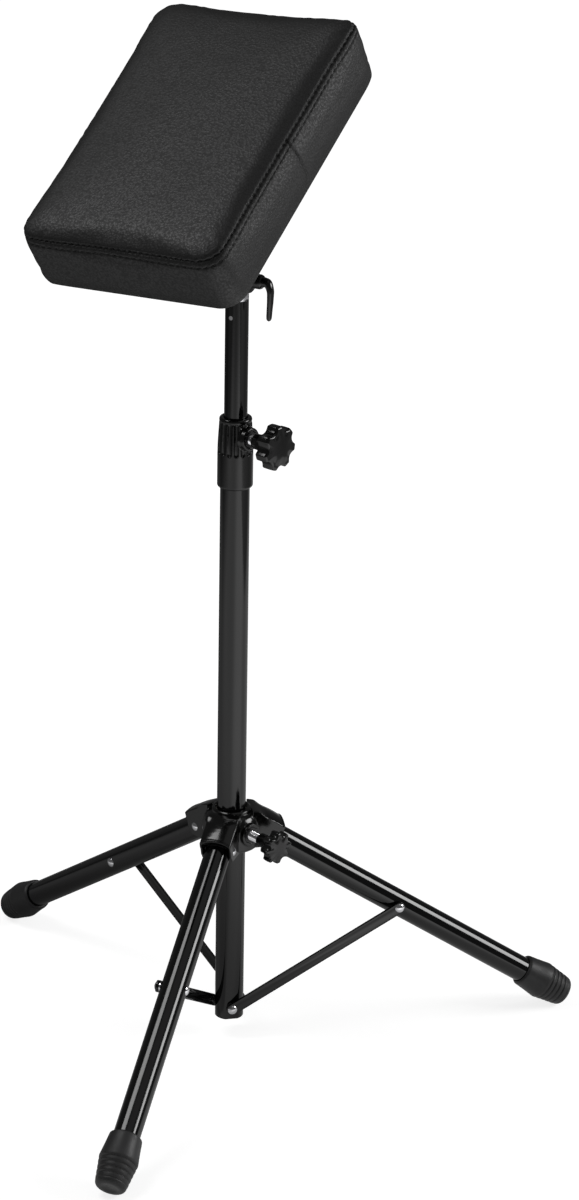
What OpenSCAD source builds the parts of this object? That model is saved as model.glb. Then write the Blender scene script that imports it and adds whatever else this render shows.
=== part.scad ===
// Tattoo arm rest stand: a padded rest that tilts on a telescopic column with a folding tripod.
// Millimetres, +Z up. The floor is z = 0 and the origin lies under the middle of the whole stand.
// The low end of the pad faces -Y. Legs, braces and knobs are placed around the column's axis.

/* [Column] */
// Outer diameter of the column tube
column_d = 28; // [24:0.5:34]
// Wall of the column tube
column_wall = 1.5; // [1:0.1:2.5]
// Length of the column tube
column_len = 589; // [480:1:700]
// Height of the column's lower end above the floor with the legs open
column_floor_gap = 20; // [12:1:40]
// Depth of the three flats pressed in the column's lower end
flat_depth = 1.3; // [0.8:0.1:1.8]
// Height of the flats
flat_h = 27; // [24:1:40]

/* [Legs] */
// Outer diameter of a leg tube
leg_d = 25.4; // [22:0.2:28]
// Wall of a leg tube
leg_wall = 1.4; // [1:0.1:2.5]
// Length from the leg's pivot to the end of its tip
leg_len = 370; // [300:1:440]
// Slope of an open leg below the horizontal, in degrees
leg_pitch = 33.5; // [26:0.5:42]
// Turn of the first leg about the column from +X, in degrees
leg_turn = 42.7; // [0:0.1:119]
// Distance from the column's axis to a leg's pivot
hub_pivot_r = 36.2; // [35:0.1:42]
// Length of a rubber foot tip
tip_len = 54; // [40:1:70]
// Largest diameter of a foot tip
tip_max_d = 37.4; // [33:0.2:44]
// Diameter of a foot tip at its upper rim
tip_rim_d = 30.6; // [29:0.2:34]
// Diameter of a foot tip at its lower end
tip_end_d = 29.2; // [24:0.2:34]
// Ring grooves on a foot tip
tip_grooves = 4; // [2:1:5]

/* [Hub] */
// Height of the hub's body
hub_h = 40; // [36:0.5:44]
// Diameter of the hub's body
hub_d = 56; // [52:0.5:60]
// Diameter of the ring on top of the hub
hub_ring_d = 38.4; // [36:0.2:42]
// Width of a yoke arm
yoke_w = 31; // [30:0.2:33]
// Reach of a yoke's lip from the column's axis
yoke_reach = 50; // [49:0.5:53]
// Diameter of a leg's pivot pin
pivot_pin_d = 6; // [5:0.2:7]

/* [Braces] */
// Width of a flat brace bar
brace_w = 11.5; // [10:0.5:14]
// Thickness of a brace bar
brace_t = 3; // [2:0.2:4]
// Distance along a leg from its pivot to the brace's pin
brace_pin_reach = 157; // [120:1:200]
// Height of the brace pins above the column's lower end
brace_pin_h = 12; // [10:0.5:14]
// Diameter of a brace rivet's shank
brace_rivet_d = 5; // [4:0.2:6]
// Diameter of a brace rivet's head
brace_head_d = 9.2; // [8:0.2:11]
// Thickness of the spacer washer under a brace
spacer_t = 1.6; // [1.4:0.1:2.4]

/* [Clamp collar] */
// Height of the clamp collar
collar_h = 69; // [60:1:80]
// Diameter of the collar's smooth skirt
collar_d = 33.8; // [33:0.2:36]
// Diameter of the collar's upper rim
collar_top_d = 29.4; // [29:0.2:31]
// Height of the smooth skirt below the flutes
skirt_h = 35; // [30:1:42]
// Flutes around the collar's upper half
flute_count = 16; // [10:1:20]

/* [Mast] */
// Outer diameter of the mast tube
mast_d = 22; // [20:0.5:24]
// Wall of the mast tube
mast_wall = 1.5; // [1:0.1:2]
// Length of the mast tube
mast_len = 460; // [380:1:520]
// Length of mast that shows above the collar
mast_show = 114; // [100:1:200]
// Length of the guide bush on the mast's lower end
guide_len = 40; // [25:1:60]

/* [Tilt joint] */
// Tilt of the pad above the horizontal, in degrees
pad_tilt = 34.2; // [0:0.1:60]
// Sideways lean of the pad on its yoke, in degrees
pad_lean = 3.3; // [-6:0.1:6]
// Height of the tilt bolt above the mast tube
tilt_rise = 20; // [18:0.5:30]
// Distance from the tilt bolt to the pad's underside
pad_rise = 115; // [90:1:140]
// Shift of the pad's middle along its length from the yoke
pad_shift = 20; // [-30:1:30]
// Diameter of the tilt bolt
tilt_bolt_d = 8; // [6:0.5:10]
// Width of the steel strap of the yoke
strap_w = 24; // [20:0.5:28]
// Thickness of the strap
strap_t = 3; // [2:0.25:4]
// Length of the lever's arm below the bolt
lever_len = 36; // [30:1:60]

/* [Knobs] */
// Diameter of the collar's star knob
star_d = 43; // [36:1:50]
// Thickness of the star knob's head
star_t = 14; // [10:1:18]
// Turn of the collar knob about the column, in degrees
star_turn = -11; // [-40:1:20]
// Diameter of the hub knob's head
hub_knob_d = 32; // [26:1:36]
// Thickness of the hub knob's head
hub_knob_t = 11; // [9:0.5:16]
// Diameter of both knobs' studs
stud_d = 10; // [8:0.5:10]

/* [Pad] */
// Length of the pad
pad_len = 297; // [240:1:360]
// Width of the pad
pad_w = 212; // [160:1:240]
// Height of the pad's side band
band_h = 60; // [45:1:80]
// Rise of the crowned top above the seam
crown_h = 12; // [6:1:20]
// Radius of the pad's corners in plan
pad_corner_r = 20; // [14:1:30]
// Thickness of the leather cover
cover_t = 1.2; // [0.8:0.1:2]
// Thickness of the plywood board
board_t = 12; // [9:1:18]
// Length of the mounting plate
plate_len = 120; // [90:1:150]
// Width of the mounting plate
plate_w = 80; // [60:1:110]
// Thickness of the mounting plate
plate_t = 3; // [2:0.5:5]

/* [Hidden] */
$fn = 48;
over = 1;
fit = 0.05;
slack = 0.15;
leg_count = 3;
legs = [for (k = [0:leg_count - 1]) k];

column_r = column_d / 2;
bore_r = column_r - column_wall;
column_z = column_floor_gap;
column_top = column_z + column_len;
flat_r = column_r - flat_depth;
flat_inner_r = flat_r - column_wall;
flat_runout = 10;
plug_h = 34;

leg_r = leg_d / 2;
leg_bore_r = leg_r - leg_wall;
tip_end_r = tip_end_d / 2;
tip_flat = 0.5;
tip_fillet = 3;
tip_wall_end = 9;
pivot_z = leg_len * sin(leg_pitch) + tip_end_r * cos(leg_pitch)
  - tip_fillet * (sin(leg_pitch) + cos(leg_pitch) - 1) - tip_flat;
knuckle_in = 4;
spigot_len = 24;
tip_cover = 2.2;
tip_wide_share = 0.46;
tip_groove_w = 1.5;
tip_groove_depth = 0.8;
tip_groove_pitch = 5.2;
tip_band = 2;
tip_chamfer = 4;
tube_end = leg_len - tip_wall_end;
tip_start = leg_len - tip_len;
// Shares of a groove's width and depth, around its outline
groove_shares = [[0, 0], [0.25, 1], [0.75, 1], [1, 0]];

// How far the three feet reach from the column's axis in one direction
function foot_reach(turn, way) = let(c = cos(leg_pitch) * cos(turn - way))
  (hub_pivot_r + leg_len * cos(leg_pitch)) * cos(turn - way)
  + (tip_end_r - tip_fillet) * sqrt(1 - c * c) - tip_fillet * c + tip_fillet;
function leg_az(k) = leg_turn + k * 360 / leg_count;
function reach(way) = max([for (k = legs) foot_reach(leg_az(k), way)]);
column_x = (reach(180) - reach(0)) / 2;
column_y = (reach(270) - reach(90)) / 2;

hub_r = hub_d / 2;
hub_ring_r = hub_ring_d / 2;
hub_drop = 9.2;
hub_z = pivot_z - hub_drop;
hub_bush_wall = 1.45;
hub_bore_r = column_r + fit + hub_bush_wall;
hub_ring_h = 4;
hub_waist_h = 19;
roof_steps = 8;
roof_power = 1.6;
roof_edge_in = 1;
roof_start = hub_ring_r - roof_edge_in;
bush_recess = 4;
lip_drop = 15.6;
lip_t = 3;
eye_r = 9.4;
slot_gap = 0.25;
slot_w = leg_d + 2 * slot_gap;
rib_gap = 0.15;
rib_len = 3.5;
lip_gap = 4;
hub_knob_rise = 9.5;
hub_knob_z = pivot_z + hub_knob_rise;
hub_knob_turn = leg_turn - 60;
boss_d = 22.4;
boss_out = 2;
stud_hole_r = stud_d / 2 + slack;
nut_af = 15;
nut_t = 4.5;
shoe_d = 8;
shoe_t = 1.6;
pin_head_d = 8.4;
pin_head_t = 1.6;

brace_side = column_r - flat_depth + spacer_t;
brace_pin_z = column_z + brace_pin_h;
leg_pin_r = hub_pivot_r + brace_pin_reach * cos(leg_pitch);
leg_pin_z = pivot_z - brace_pin_reach * sin(leg_pitch);
brace_len = norm([leg_pin_r, leg_pin_z - brace_pin_z]);
brace_pitch = atan2(leg_pin_z - brace_pin_z, leg_pin_r);
brace_head_t = 2.2;
brace_gap = 0.3;
washer_d = 11.4;
rivet_in = 5.5;

collar_z = column_top - skirt_h + fit;
collar_top = collar_z + collar_h;
collar_chamfer = 2.4;
collar_rim_h = 4;
collar_rim_round = 1.6;
flute_r = 2.6;
flute_share = 0.68;
collar_narrowing = (collar_d - collar_top_d - collar_rim_round) / 2;
collar_taper = atan2(collar_narrowing, collar_h - skirt_h - collar_rim_h);
mast_r = mast_d / 2;
collar_bore_r = mast_r + slack;
star_rise = 15.5;
star_z = column_top + star_rise;
collar_boss_r = 20;

mast_top = collar_top + mast_show;
mast_z = mast_top - mast_len;
guide_wall_r = bore_r - fit;
guide_lip_h = 5;

tilt_z = mast_top + tilt_rise;
head_w = 20.4;
friction_t = 1.5;
yoke_gap = head_w + 2 * friction_t;
yoke_out = yoke_gap + 2 * strap_t;
head_plug_len = 32;
head_r = mast_r;
cross_pin_d = 4;
cross_pin_drop = 16;
bolt_head_af = 13;
bolt_head_t = 5.3;
lever_washer_t = 1.2;
lever_boss_d = 14;
lever_boss_len = 12;
lever_bend_x = 19;
lever_tip_d = 5;
insert_af = 11;
insert_len = 9;
lever_x = yoke_out / 2 + lever_washer_t;

collar_shoe_face = collar_bore_r + slack;
hub_shoe_face = hub_bore_r - hub_bush_wall + slack;
star_stud_show = 5.5;
star_neck_from = collar_boss_r + star_stud_show;
star_neck_len = 17;
star_neck_d = 15;
star_flare_d = 26;
star_lobes = 7;
star_valley_share = 0.18;
star_valley_out_share = 1.18;
hub_stud_show = 13;
hub_neck_from = hub_r + boss_out + hub_stud_show;
hub_neck_len = 16;
hub_neck_d = 13;
hub_flare_d = 17;
hub_lobes = 8;
hub_valley_share = 0.17;
hub_valley_out_share = 1.15;
knob_round = 1.6;

web_z = pad_rise - plate_t;
plate_r = 8;
screw_d = 6;
screw_head_d = 11;
screw_head_t = 3;
screw_inset = 12;
tee_d = 18;
tee_t = 1.5;
tee_barrel_d = 8.4;
hem_w = 22;
cloth_gap = 0.4;
foam_gap = 0.2;
board_gap = 0.6;

corner_steps = 6;
long_steps = 4;
short_steps = 3;
ring_n = 4 * (corner_steps + 1) + 2 * (short_steps - 1) + 2 * (long_steps - 1);
last_inset_share = 0.84;
seam_in_share = 2.6;
least_corner = 5;

// Shares of the band's height, with the inward shift there in cover thicknesses
band_shares = [[0, 3.4], [0.03, 1.4], [0.14, 0.5], [0.38, -0.5], [0.62, -0.5], [0.87, 0.1], [0.965, 1.6]];
// Shares of the crown's height and of the way from the seam to the middle line
crown_shares = [[0, 0.005], [0.19, 0.011], [0.5, 0.07], [0.72, 0.165], [0.85, 0.32], [0.94, 0.55], [1, 0.85]];

module at_column(z = 0) {
  translate([column_x, column_y, z])
    children();
}

module around(turn, z = 0) {
  at_column(z)
    rotate([0, 0, turn])
      children();
}

// Frame of a leg: the origin is its pivot, +X runs down the leg and +Z is its upper side
module on_leg(k) {
  around(leg_az(k), pivot_z)
    translate([hub_pivot_r, 0, 0])
      rotate([0, leg_pitch, 0])
        children();
}

// Frame of a brace: the origin is its lower pin, +X runs up the bar and -Y is its outer face
module on_brace(k) {
  around(leg_az(k), brace_pin_z)
    translate([0, -brace_side, 0])
      rotate([0, -brace_pitch, 0])
        children();
}

// Frame of the tilting parts: the origin is the tilt bolt and +Z is square to the pad
module on_tilt() {
  at_column(tilt_z)
    rotate([pad_tilt, 0, 0])
      children();
}

// Frame of the pad: the origin is the middle of its underside over the yoke, and +Z points out of its top
module on_pad() {
  on_tilt()
    translate([0, 0, web_z])
      rotate([0, -pad_lean, 0])
        translate([0, 0, plate_t])
          children();
}

// Frame of a knob: +Z points outward from the column's axis
module outward(turn, z) {
  around(turn, z)
    rotate([0, 90, 0])
      children();
}

module tube(r_out, r_in, len) {
  difference() {
    cylinder(r = r_out, h = len);
    translate([0, 0, -over])
      cylinder(r = r_in, h = len + 2 * over);
  }
}

module bar_y(r, y0, y1) {
  translate([0, y0, 0])
    rotate([-90, 0, 0])
      cylinder(r = r, h = y1 - y0);
}

module bar_x(r, x0, x1) {
  translate([x0, 0, 0])
    rotate([0, 90, 0])
      cylinder(r = r, h = x1 - x0);
}

module hexagon(af, h) {
  cylinder(r = af / sqrt(3), h = h, $fn = 6);
}

// A domed rivet head that stands on z = 0
module dome_head(d, t) {
  ball = (d * d / 4 + t * t) / (2 * t);
  intersection() {
    translate([0, 0, t - ball])
      sphere(r = ball);
    cylinder(r = d / 2, h = t);
  }
}

// The column's outline below the flats' run-out, cut to one distance from the axis
module flat_cuts(r_flat, h) {
  for (k = legs) {
    rotate([0, 0, leg_az(k) - 90])
      rotate([90, 0, 0])
        translate([0, 0, -column_r])
          linear_extrude(column_d)
            polygon([[r_flat, -over], [column_d, -over], [column_d, h + 2 * flat_runout],
              [r_flat + 2 * flat_depth, h + 2 * flat_runout], [r_flat, h]]);
  }
}

module column_tube() {
  color([0.06, 0.06, 0.06])
    at_column(column_z)
      difference() {
        difference() {
          cylinder(r = column_r, h = column_len);
          flat_cuts(flat_r, flat_h);
        }
        difference() {
          translate([0, 0, -over])
            cylinder(r = bore_r, h = column_len + 2 * over);
          translate([0, 0, -over])
            flat_cuts(flat_inner_r, flat_h + over);
        }
        rivet_holes();
      }
}

module rivet_holes() {
  for (k = legs) {
    rotate([0, 0, leg_az(k)])
      translate([0, 0, brace_pin_h])
        bar_y(brace_rivet_d / 2, -column_d, -flat_inner_r + rivet_in + over);
  }
}

module column_plug() {
  color([0.1, 0.1, 0.11])
    at_column(column_z)
      difference() {
        cylinder(r = bore_r - fit, h = plug_h);
        flat_cuts(flat_inner_r - fit, flat_h);
        rivet_holes();
      }
}

module column_rivets() {
  color([0.8, 0.8, 0.82])
    for (k = legs) {
      around(leg_az(k), brace_pin_z) {
        bar_y(brace_rivet_d / 2, -brace_side - brace_t - slack, -flat_inner_r + rivet_in);
        translate([0, -brace_side - brace_t - slack, 0])
          rotate([90, 0, 0])
            dome_head(brace_head_d, brace_head_t);
      }
    }
}

module column_washers() {
  color([0.08, 0.08, 0.08])
    for (k = legs) {
      around(leg_az(k), brace_pin_z)
        difference() {
          bar_y(washer_d / 2, -brace_side + slack / 2, -flat_r);
          bar_y(brace_rivet_d / 2, -column_d, column_d);
        }
    }
}

module clamp_collar() {
  upper_h = collar_h - skirt_h;
  color([0.05, 0.05, 0.05])
    at_column(collar_z)
      difference() {
        union() {
          difference() {
            rotate_extrude()
              polygon([[0, 0], [collar_d / 2 - collar_chamfer, 0], [collar_d / 2, collar_chamfer],
                [collar_d / 2, skirt_h], [collar_top_d / 2 + collar_rim_round / 2, collar_h - collar_rim_h],
                [collar_top_d / 2, collar_h - collar_rim_round],
                [collar_top_d / 2 - collar_rim_round, collar_h], [0, collar_h]]);
            for (k = [0:flute_count - 1]) {
              rotate([0, 0, k * 360 / flute_count])
                translate([collar_d / 2 + flute_r * flute_share, 0, skirt_h])
                  rotate([0, -collar_taper, 0])
                    cylinder(r = flute_r, h = upper_h - collar_rim_h);
            }
          }
          translate([0, 0, star_z - collar_z])
            rotate([0, 0, star_turn])
              bar_x(boss_d / 2, 0, collar_boss_r);
        }
        translate([0, 0, -over])
          cylinder(r = column_r + fit, h = skirt_h + over);
        translate([0, 0, skirt_h - over])
          cylinder(r = collar_bore_r, h = upper_h + 2 * over);
        translate([0, 0, star_z - collar_z])
          rotate([0, 0, star_turn]) {
            bar_x(stud_hole_r, 0, column_d);
            translate([collar_boss_r - nut_t, 0, 0])
              rotate([0, 90, 0])
                hexagon(nut_af, nut_t + over);
          }
      }
}

module collar_nut() {
  captive_nut(star_turn, star_z, collar_boss_r);
}

module hub_nut() {
  captive_nut(hub_knob_turn, hub_knob_z, hub_r + boss_out);
}

module collar_shoe() {
  shoe(star_turn, star_z, collar_shoe_face);
}

module hub_shoe() {
  shoe(hub_knob_turn, hub_knob_z, hub_shoe_face);
}

module captive_nut(turn, z, seat) {
  color([0.72, 0.72, 0.74])
    outward(turn, z)
      translate([0, 0, seat - nut_t])
        difference() {
          hexagon(nut_af - 2 * fit, nut_t);
          translate([0, 0, -over])
            cylinder(r = stud_d / 2 + fit, h = nut_t + 2 * over);
        }
}

module shoe(turn, z, face) {
  color([0.7, 0.58, 0.3])
    outward(turn, z)
      intersection() {
        cylinder(r = shoe_d / 2, h = face + shoe_t);
        translate([-boss_d, -boss_d, face])
          cube([2 * boss_d, 2 * boss_d, shoe_t]);
      }
}

module stud(turn, z, from, to) {
  color([0.78, 0.78, 0.8])
    outward(turn, z)
      translate([0, 0, from])
        cylinder(r = stud_d / 2, h = to - from);
}

// A lobed knob: a flared neck, then a head with rounded valleys between its lobes
module lobed_knob(from, neck_len, neck_d, flare_d, d, t, lobes, valley_share, valley_out_share) {
  translate([0, 0, from])
    difference() {
      union() {
        rotate_extrude()
          polygon([[0, 0], [neck_d / 2 - knob_round / 2, 0], [neck_d / 2, knob_round / 2],
            [neck_d / 2, neck_len / 2], [flare_d / 2, neck_len], [flare_d / 2, neck_len + t / 2],
            [0, neck_len + t / 2]]);
        translate([0, 0, neck_len])
          difference() {
            rotate_extrude()
              polygon([[0, 0], [d / 2 - knob_round, 0], [d / 2, knob_round], [d / 2, t - knob_round],
                [d / 2 - knob_round, t], [0, t]]);
            for (k = [0:lobes - 1]) {
              rotate([0, 0, (k + 1 / 2) * 360 / lobes])
                translate([d / 2 * valley_out_share, 0, -over])
                  cylinder(r = d * valley_share, h = t + 2 * over);
            }
          }
      }
      translate([0, 0, -over])
        cylinder(r = stud_d / 2 + fit / 2, h = neck_len + over);
    }
}

module collar_stud() {
  stud(star_turn, star_z, collar_shoe_face + shoe_t + fit, star_neck_from + star_neck_len - over);
}

module hub_stud() {
  stud(hub_knob_turn, hub_knob_z, hub_shoe_face + shoe_t + fit, hub_neck_from + hub_neck_len - over);
}

module collar_knob() {
  color([0.04, 0.04, 0.04])
    outward(star_turn, star_z)
      lobed_knob(star_neck_from, star_neck_len, star_neck_d, star_flare_d, star_d, star_t,
        star_lobes, star_valley_share, star_valley_out_share);
}

module hub_knob() {
  color([0.04, 0.04, 0.04])
    outward(hub_knob_turn, hub_knob_z)
      lobed_knob(hub_neck_from, hub_neck_len, hub_neck_d, hub_flare_d, hub_knob_d, hub_knob_t,
        hub_lobes, hub_valley_share, hub_valley_out_share);
}

function roof_z(r) = hub_h - lip_drop * pow((r - roof_start) / (yoke_reach - roof_start), roof_power);

// Side outline of a yoke arm, in the plane of radius and height above the hub's lower face
module yoke_outline() {
  polygon(concat(
    [for (i = [0:roof_steps])
      let(r = roof_start + (yoke_reach - roof_start) * i / roof_steps) [r, roof_z(r) - hub_ring_h / 4]],
    [[yoke_reach, hub_h - lip_drop - lip_t], [hub_pivot_r + eye_r, hub_drop - lip_t],
      [hub_pivot_r + eye_r / 2, 0], [hub_bore_r + hub_bush_wall, 0],
      [hub_bore_r + hub_bush_wall, hub_h / 2]]));
}

// Side outline of the room that a leg needs between open and folded
module swing_outline() {
  clear_r = leg_r + slot_gap;
  up = [sin(leg_pitch), cos(leg_pitch)];
  along = [cos(leg_pitch), -sin(leg_pitch)];
  p = [hub_pivot_r, hub_drop];
  rib = leg_r + rib_gap;
  translate(p)
    circle(r = rib);
  polygon([p + rib * up, p + rib * up + rib_len * along, p + (leg_r + lip_gap) * up + rib_len * along,
    p + (leg_r + lip_gap) * up + hub_d * along, [p[0] + hub_d, -hub_h], [p[0] - clear_r, -hub_h],
    [p[0] - clear_r, hub_drop], p]);
}

module hub_body() {
  dome_steps = 6;
  dome_a = hub_r - hub_ring_r;
  dome_h = hub_h - hub_ring_h - hub_waist_h;
  color([0.07, 0.07, 0.07])
    at_column(hub_z)
      difference() {
        union() {
          rotate_extrude()
            polygon(concat([[0, 0], [hub_r - 1.5 * knob_round, 0], [hub_r, 1.5 * knob_round]],
              [for (i = [0:dome_steps]) let(t = 90 * i / dome_steps)
                [hub_ring_r + dome_a * cos(t), hub_waist_h + dome_h * sin(t)]],
              [[hub_ring_r, hub_h - knob_round], [hub_ring_r - knob_round, hub_h], [0, hub_h]]));
          for (k = legs) {
            rotate([0, 0, leg_az(k)])
              translate([0, yoke_w / 2, 0])
                rotate([90, 0, 0])
                  linear_extrude(yoke_w)
                    yoke_outline();
          }
          translate([0, 0, hub_knob_z - hub_z])
            rotate([0, 0, hub_knob_turn])
              bar_x(boss_d / 2, 0, hub_r + boss_out);
        }
        translate([0, 0, -over])
          cylinder(r = hub_bore_r, h = hub_h + 2 * over);
        for (k = legs) {
          rotate([0, 0, leg_az(k)]) {
            translate([0, slot_w / 2, 0])
              rotate([90, 0, 0])
                linear_extrude(slot_w)
                  swing_outline();
            translate([hub_pivot_r, 0, hub_drop])
              bar_y(pivot_pin_d / 2, -yoke_w, yoke_w);
          }
        }
        translate([0, 0, hub_knob_z - hub_z])
          rotate([0, 0, hub_knob_turn]) {
            bar_x(stud_hole_r, 0, hub_d);
            translate([hub_r + boss_out - nut_t, 0, 0])
              rotate([0, 90, 0])
                hexagon(nut_af, nut_t + over);
          }
      }
}

module hub_bush() {
  color([0.12, 0.12, 0.12])
    difference() {
      at_column(hub_z)
        tube(hub_bore_r, column_r + fit, hub_h - bush_recess);
      outward(hub_knob_turn, hub_knob_z)
        cylinder(r = stud_hole_r, h = hub_d);
    }
}

module leg_pins() {
  color([0.8, 0.8, 0.82])
    for (k = legs) {
      around(leg_az(k), pivot_z)
        translate([hub_pivot_r, 0, 0]) {
          bar_y(pivot_pin_d / 2, -yoke_w / 2, yoke_w / 2);
          for (side = [0, 180]) {
            rotate([90, 0, side])
              translate([0, 0, yoke_w / 2])
                dome_head(pin_head_d, pin_head_t);
          }
        }
    }
}

// Radius of a foot tip's taper below its widest ring, at one distance from the rim
function tip_taper(z) = let(wide = tip_len * tip_wide_share)
  tip_max_d / 2 + (tip_end_r - tip_max_d / 2) * (z - wide) / (tip_len - wide);

module tip_solid() {
  wide = tip_len * tip_wide_share;
  grooves_from = wide + tip_groove_pitch / 2;
  rotate_extrude()
    polygon(concat(
      [[0, 0], [tip_rim_d / 2 - tip_cover / 2, 0], [tip_rim_d / 2, tip_chamfer / 2],
        [tip_max_d / 2 - tip_band / 4, wide - tip_band], [tip_max_d / 2, wide]],
      [for (g = [0:tip_grooves - 1]) for (p = groove_shares)
        let(z = grooves_from + g * tip_groove_pitch + p[0] * tip_groove_w)
          [tip_taper(z) - p[1] * tip_groove_depth, z]],
      [[tip_end_r, tip_len - tip_fillet]],
      [for (t = [30, 60, 90])
        [tip_end_r - tip_fillet + tip_fillet * cos(t), tip_len - tip_fillet + tip_fillet * sin(t)]],
      [[0, tip_len]]));
}

module leg_tube(k) {
  color([0.06, 0.06, 0.06])
    on_leg(k)
      difference() {
        translate([knuckle_in, 0, 0])
          rotate([0, 90, 0])
            tube(leg_r, leg_bore_r, tube_end - knuckle_in);
        translate([brace_pin_reach, 0, 0])
          bar_y(brace_rivet_d / 2, -leg_d, leg_d);
      }
}

module leg_knuckle(k) {
  color([0.09, 0.09, 0.09])
    on_leg(k)
      difference() {
        union() {
          bar_x(leg_r, 0, knuckle_in);
          intersection() {
            bar_x(leg_r, -leg_r, over);
            bar_y(leg_r, -leg_d, leg_d);
          }
          bar_x(leg_bore_r - fit, 0, knuckle_in + spigot_len);
        }
        bar_y(pivot_pin_d / 2 + fit, -leg_d, leg_d);
      }
}

module foot_tip(k) {
  color([0.1, 0.1, 0.1])
    difference() {
      on_leg(k)
        difference() {
          translate([tip_start, 0, 0])
            rotate([0, 90, 0])
              tip_solid();
          bar_x(leg_r + fit / 2, tip_start - over, tube_end);
        }
      translate([-leg_len * 2, -leg_len * 2, -leg_len])
        cube([leg_len * 4, leg_len * 4, leg_len]);
    }
}

// Shouldered rivet through a leg. It ends just short of the brace, so the two can part when the legs fold
module leg_rivet(k) {
  color([0.8, 0.8, 0.82])
    on_leg(k)
      translate([brace_pin_reach, 0, 0]) {
        bar_y(brace_rivet_d / 2, -leg_r, leg_r);
        bar_y(brace_head_d / 2, brace_gap - brace_side, -leg_r);
        translate([0, leg_r, 0])
          rotate([-90, 0, 0])
            dome_head(brace_head_d, brace_head_t);
      }
}

module brace_bar(k) {
  color([0.06, 0.06, 0.06])
    on_brace(k)
      difference() {
        union() {
          translate([0, -brace_t, -brace_w / 2])
            cube([brace_len, brace_t, brace_w]);
          for (x = [0, brace_len]) {
            translate([x, 0, 0])
              bar_y(brace_w / 2, -brace_t, 0);
          }
        }
        bar_y(brace_rivet_d / 2 + fit, -brace_t - over, over);
        translate([brace_len, 0, 0])
          bar_y(brace_rivet_d / 2, -brace_t - over, over);
      }
}

// Head and short shank of the rivet at a brace's upper end
module brace_rivet(k) {
  color([0.8, 0.8, 0.82])
    on_brace(k)
      translate([brace_len, 0, 0]) {
        bar_y(brace_rivet_d / 2, -brace_t, 0);
        translate([0, -brace_t, 0])
          rotate([90, 0, 0])
            dome_head(brace_head_d, brace_head_t);
      }
}

module mast_guide() {
  color([0.85, 0.85, 0.82])
    at_column(mast_z - fit - guide_lip_h)
      difference() {
        cylinder(r = guide_wall_r, h = guide_len);
        translate([0, 0, guide_lip_h])
          cylinder(r = mast_r + fit, h = guide_len);
        translate([0, 0, -over])
          cylinder(r = mast_r - 2 * mast_wall, h = guide_len);
      }
}

module mast_tube() {
  color([0.06, 0.06, 0.06])
    difference() {
      at_column(mast_z)
        tube(mast_r, mast_r - mast_wall, mast_len);
      at_column(mast_top - cross_pin_drop)
        bar_y(cross_pin_d / 2, -mast_d, mast_d);
    }
}

module mast_head() {
  color([0.75, 0.75, 0.77])
    at_column(mast_top)
      difference() {
        union() {
          translate([0, 0, -head_plug_len])
            cylinder(r = mast_r - mast_wall - fit, h = head_plug_len);
          intersection() {
            cylinder(r = head_r, h = tilt_rise);
            translate([-head_w / 2, -head_r, 0])
              cube([head_w, 2 * head_r, tilt_rise]);
          }
          translate([0, 0, tilt_rise])
            bar_x(head_r, -head_w / 2, head_w / 2);
        }
        translate([0, 0, tilt_rise])
          bar_x(tilt_bolt_d / 2 + slack, -head_w, head_w);
        translate([0, 0, -cross_pin_drop])
          bar_y(cross_pin_d / 2, -mast_d, mast_d);
      }
}

module mast_cross_pin() {
  color([0.8, 0.8, 0.82])
    at_column(mast_top - cross_pin_drop)
      bar_y(cross_pin_d / 2, -mast_r, mast_r);
}

module tilt_bolt() {
  color([0.78, 0.78, 0.8])
    at_column(tilt_z) {
      bar_x(tilt_bolt_d / 2, -yoke_out / 2 - slack, lever_x + insert_len - over);
      translate([-yoke_out / 2 - slack, 0, 0])
        rotate([0, -90, 0])
          hexagon(bolt_head_af, bolt_head_t);
    }
}

module friction_washers() {
  color([0.3, 0.3, 0.3])
    at_column(tilt_z)
      for (side = [0, 180]) {
        rotate([0, 0, side])
          difference() {
            bar_x(head_r - slack, head_w / 2, yoke_gap / 2 - fit);
            bar_x(tilt_bolt_d / 2, head_w / 2 - over, yoke_gap / 2 + over);
          }
      }
}

module lever_washer() {
  color([0.78, 0.78, 0.8])
    at_column(tilt_z)
      difference() {
        bar_x(bolt_head_af / 2, lever_x - lever_washer_t + fit, lever_x - fit);
        bar_x(tilt_bolt_d / 2, 0, lever_x + over);
      }
}

module lever_insert() {
  color([0.75, 0.75, 0.77])
    at_column(tilt_z)
      translate([lever_x, 0, 0])
        difference() {
          rotate([0, 90, 0])
            hexagon(insert_af, insert_len);
          bar_x(tilt_bolt_d / 2 + fit, -over, insert_len + over);
        }
}

// Clamp lever: a round boss on the bolt, then an arm that bends down beside the mast
module lever_handle() {
  bend_r = lever_boss_d / 2;
  color([0.04, 0.04, 0.04])
    at_column(tilt_z)
      translate([lever_x, 0, 0])
        difference() {
          union() {
            bar_x(lever_boss_d / 2, 0, lever_boss_len);
            hull() {
              bar_x(lever_boss_d / 2, lever_boss_len - over, lever_boss_len);
              translate([lever_bend_x - bend_r / 2, 0, -bend_r / 4])
                sphere(r = bend_r * 3 / 4, $fn = 32);
            }
            hull() {
              translate([lever_bend_x - bend_r / 2, 0, -bend_r / 4])
                sphere(r = bend_r * 3 / 4, $fn = 32);
              translate([lever_bend_x, 0, -lever_boss_d * 3 / 4])
                sphere(r = bend_r / 2, $fn = 32);
            }
            hull() {
              translate([lever_bend_x, 0, -lever_boss_d * 3 / 4])
                sphere(r = bend_r / 2, $fn = 32);
              translate([lever_bend_x, 0, -lever_len + lever_tip_d / 2])
                sphere(r = lever_tip_d / 2, $fn = 32);
            }
          }
          translate([-over, 0, 0])
            rotate([0, 90, 0])
              hexagon(insert_af, insert_len + over);
        }
}

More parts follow.
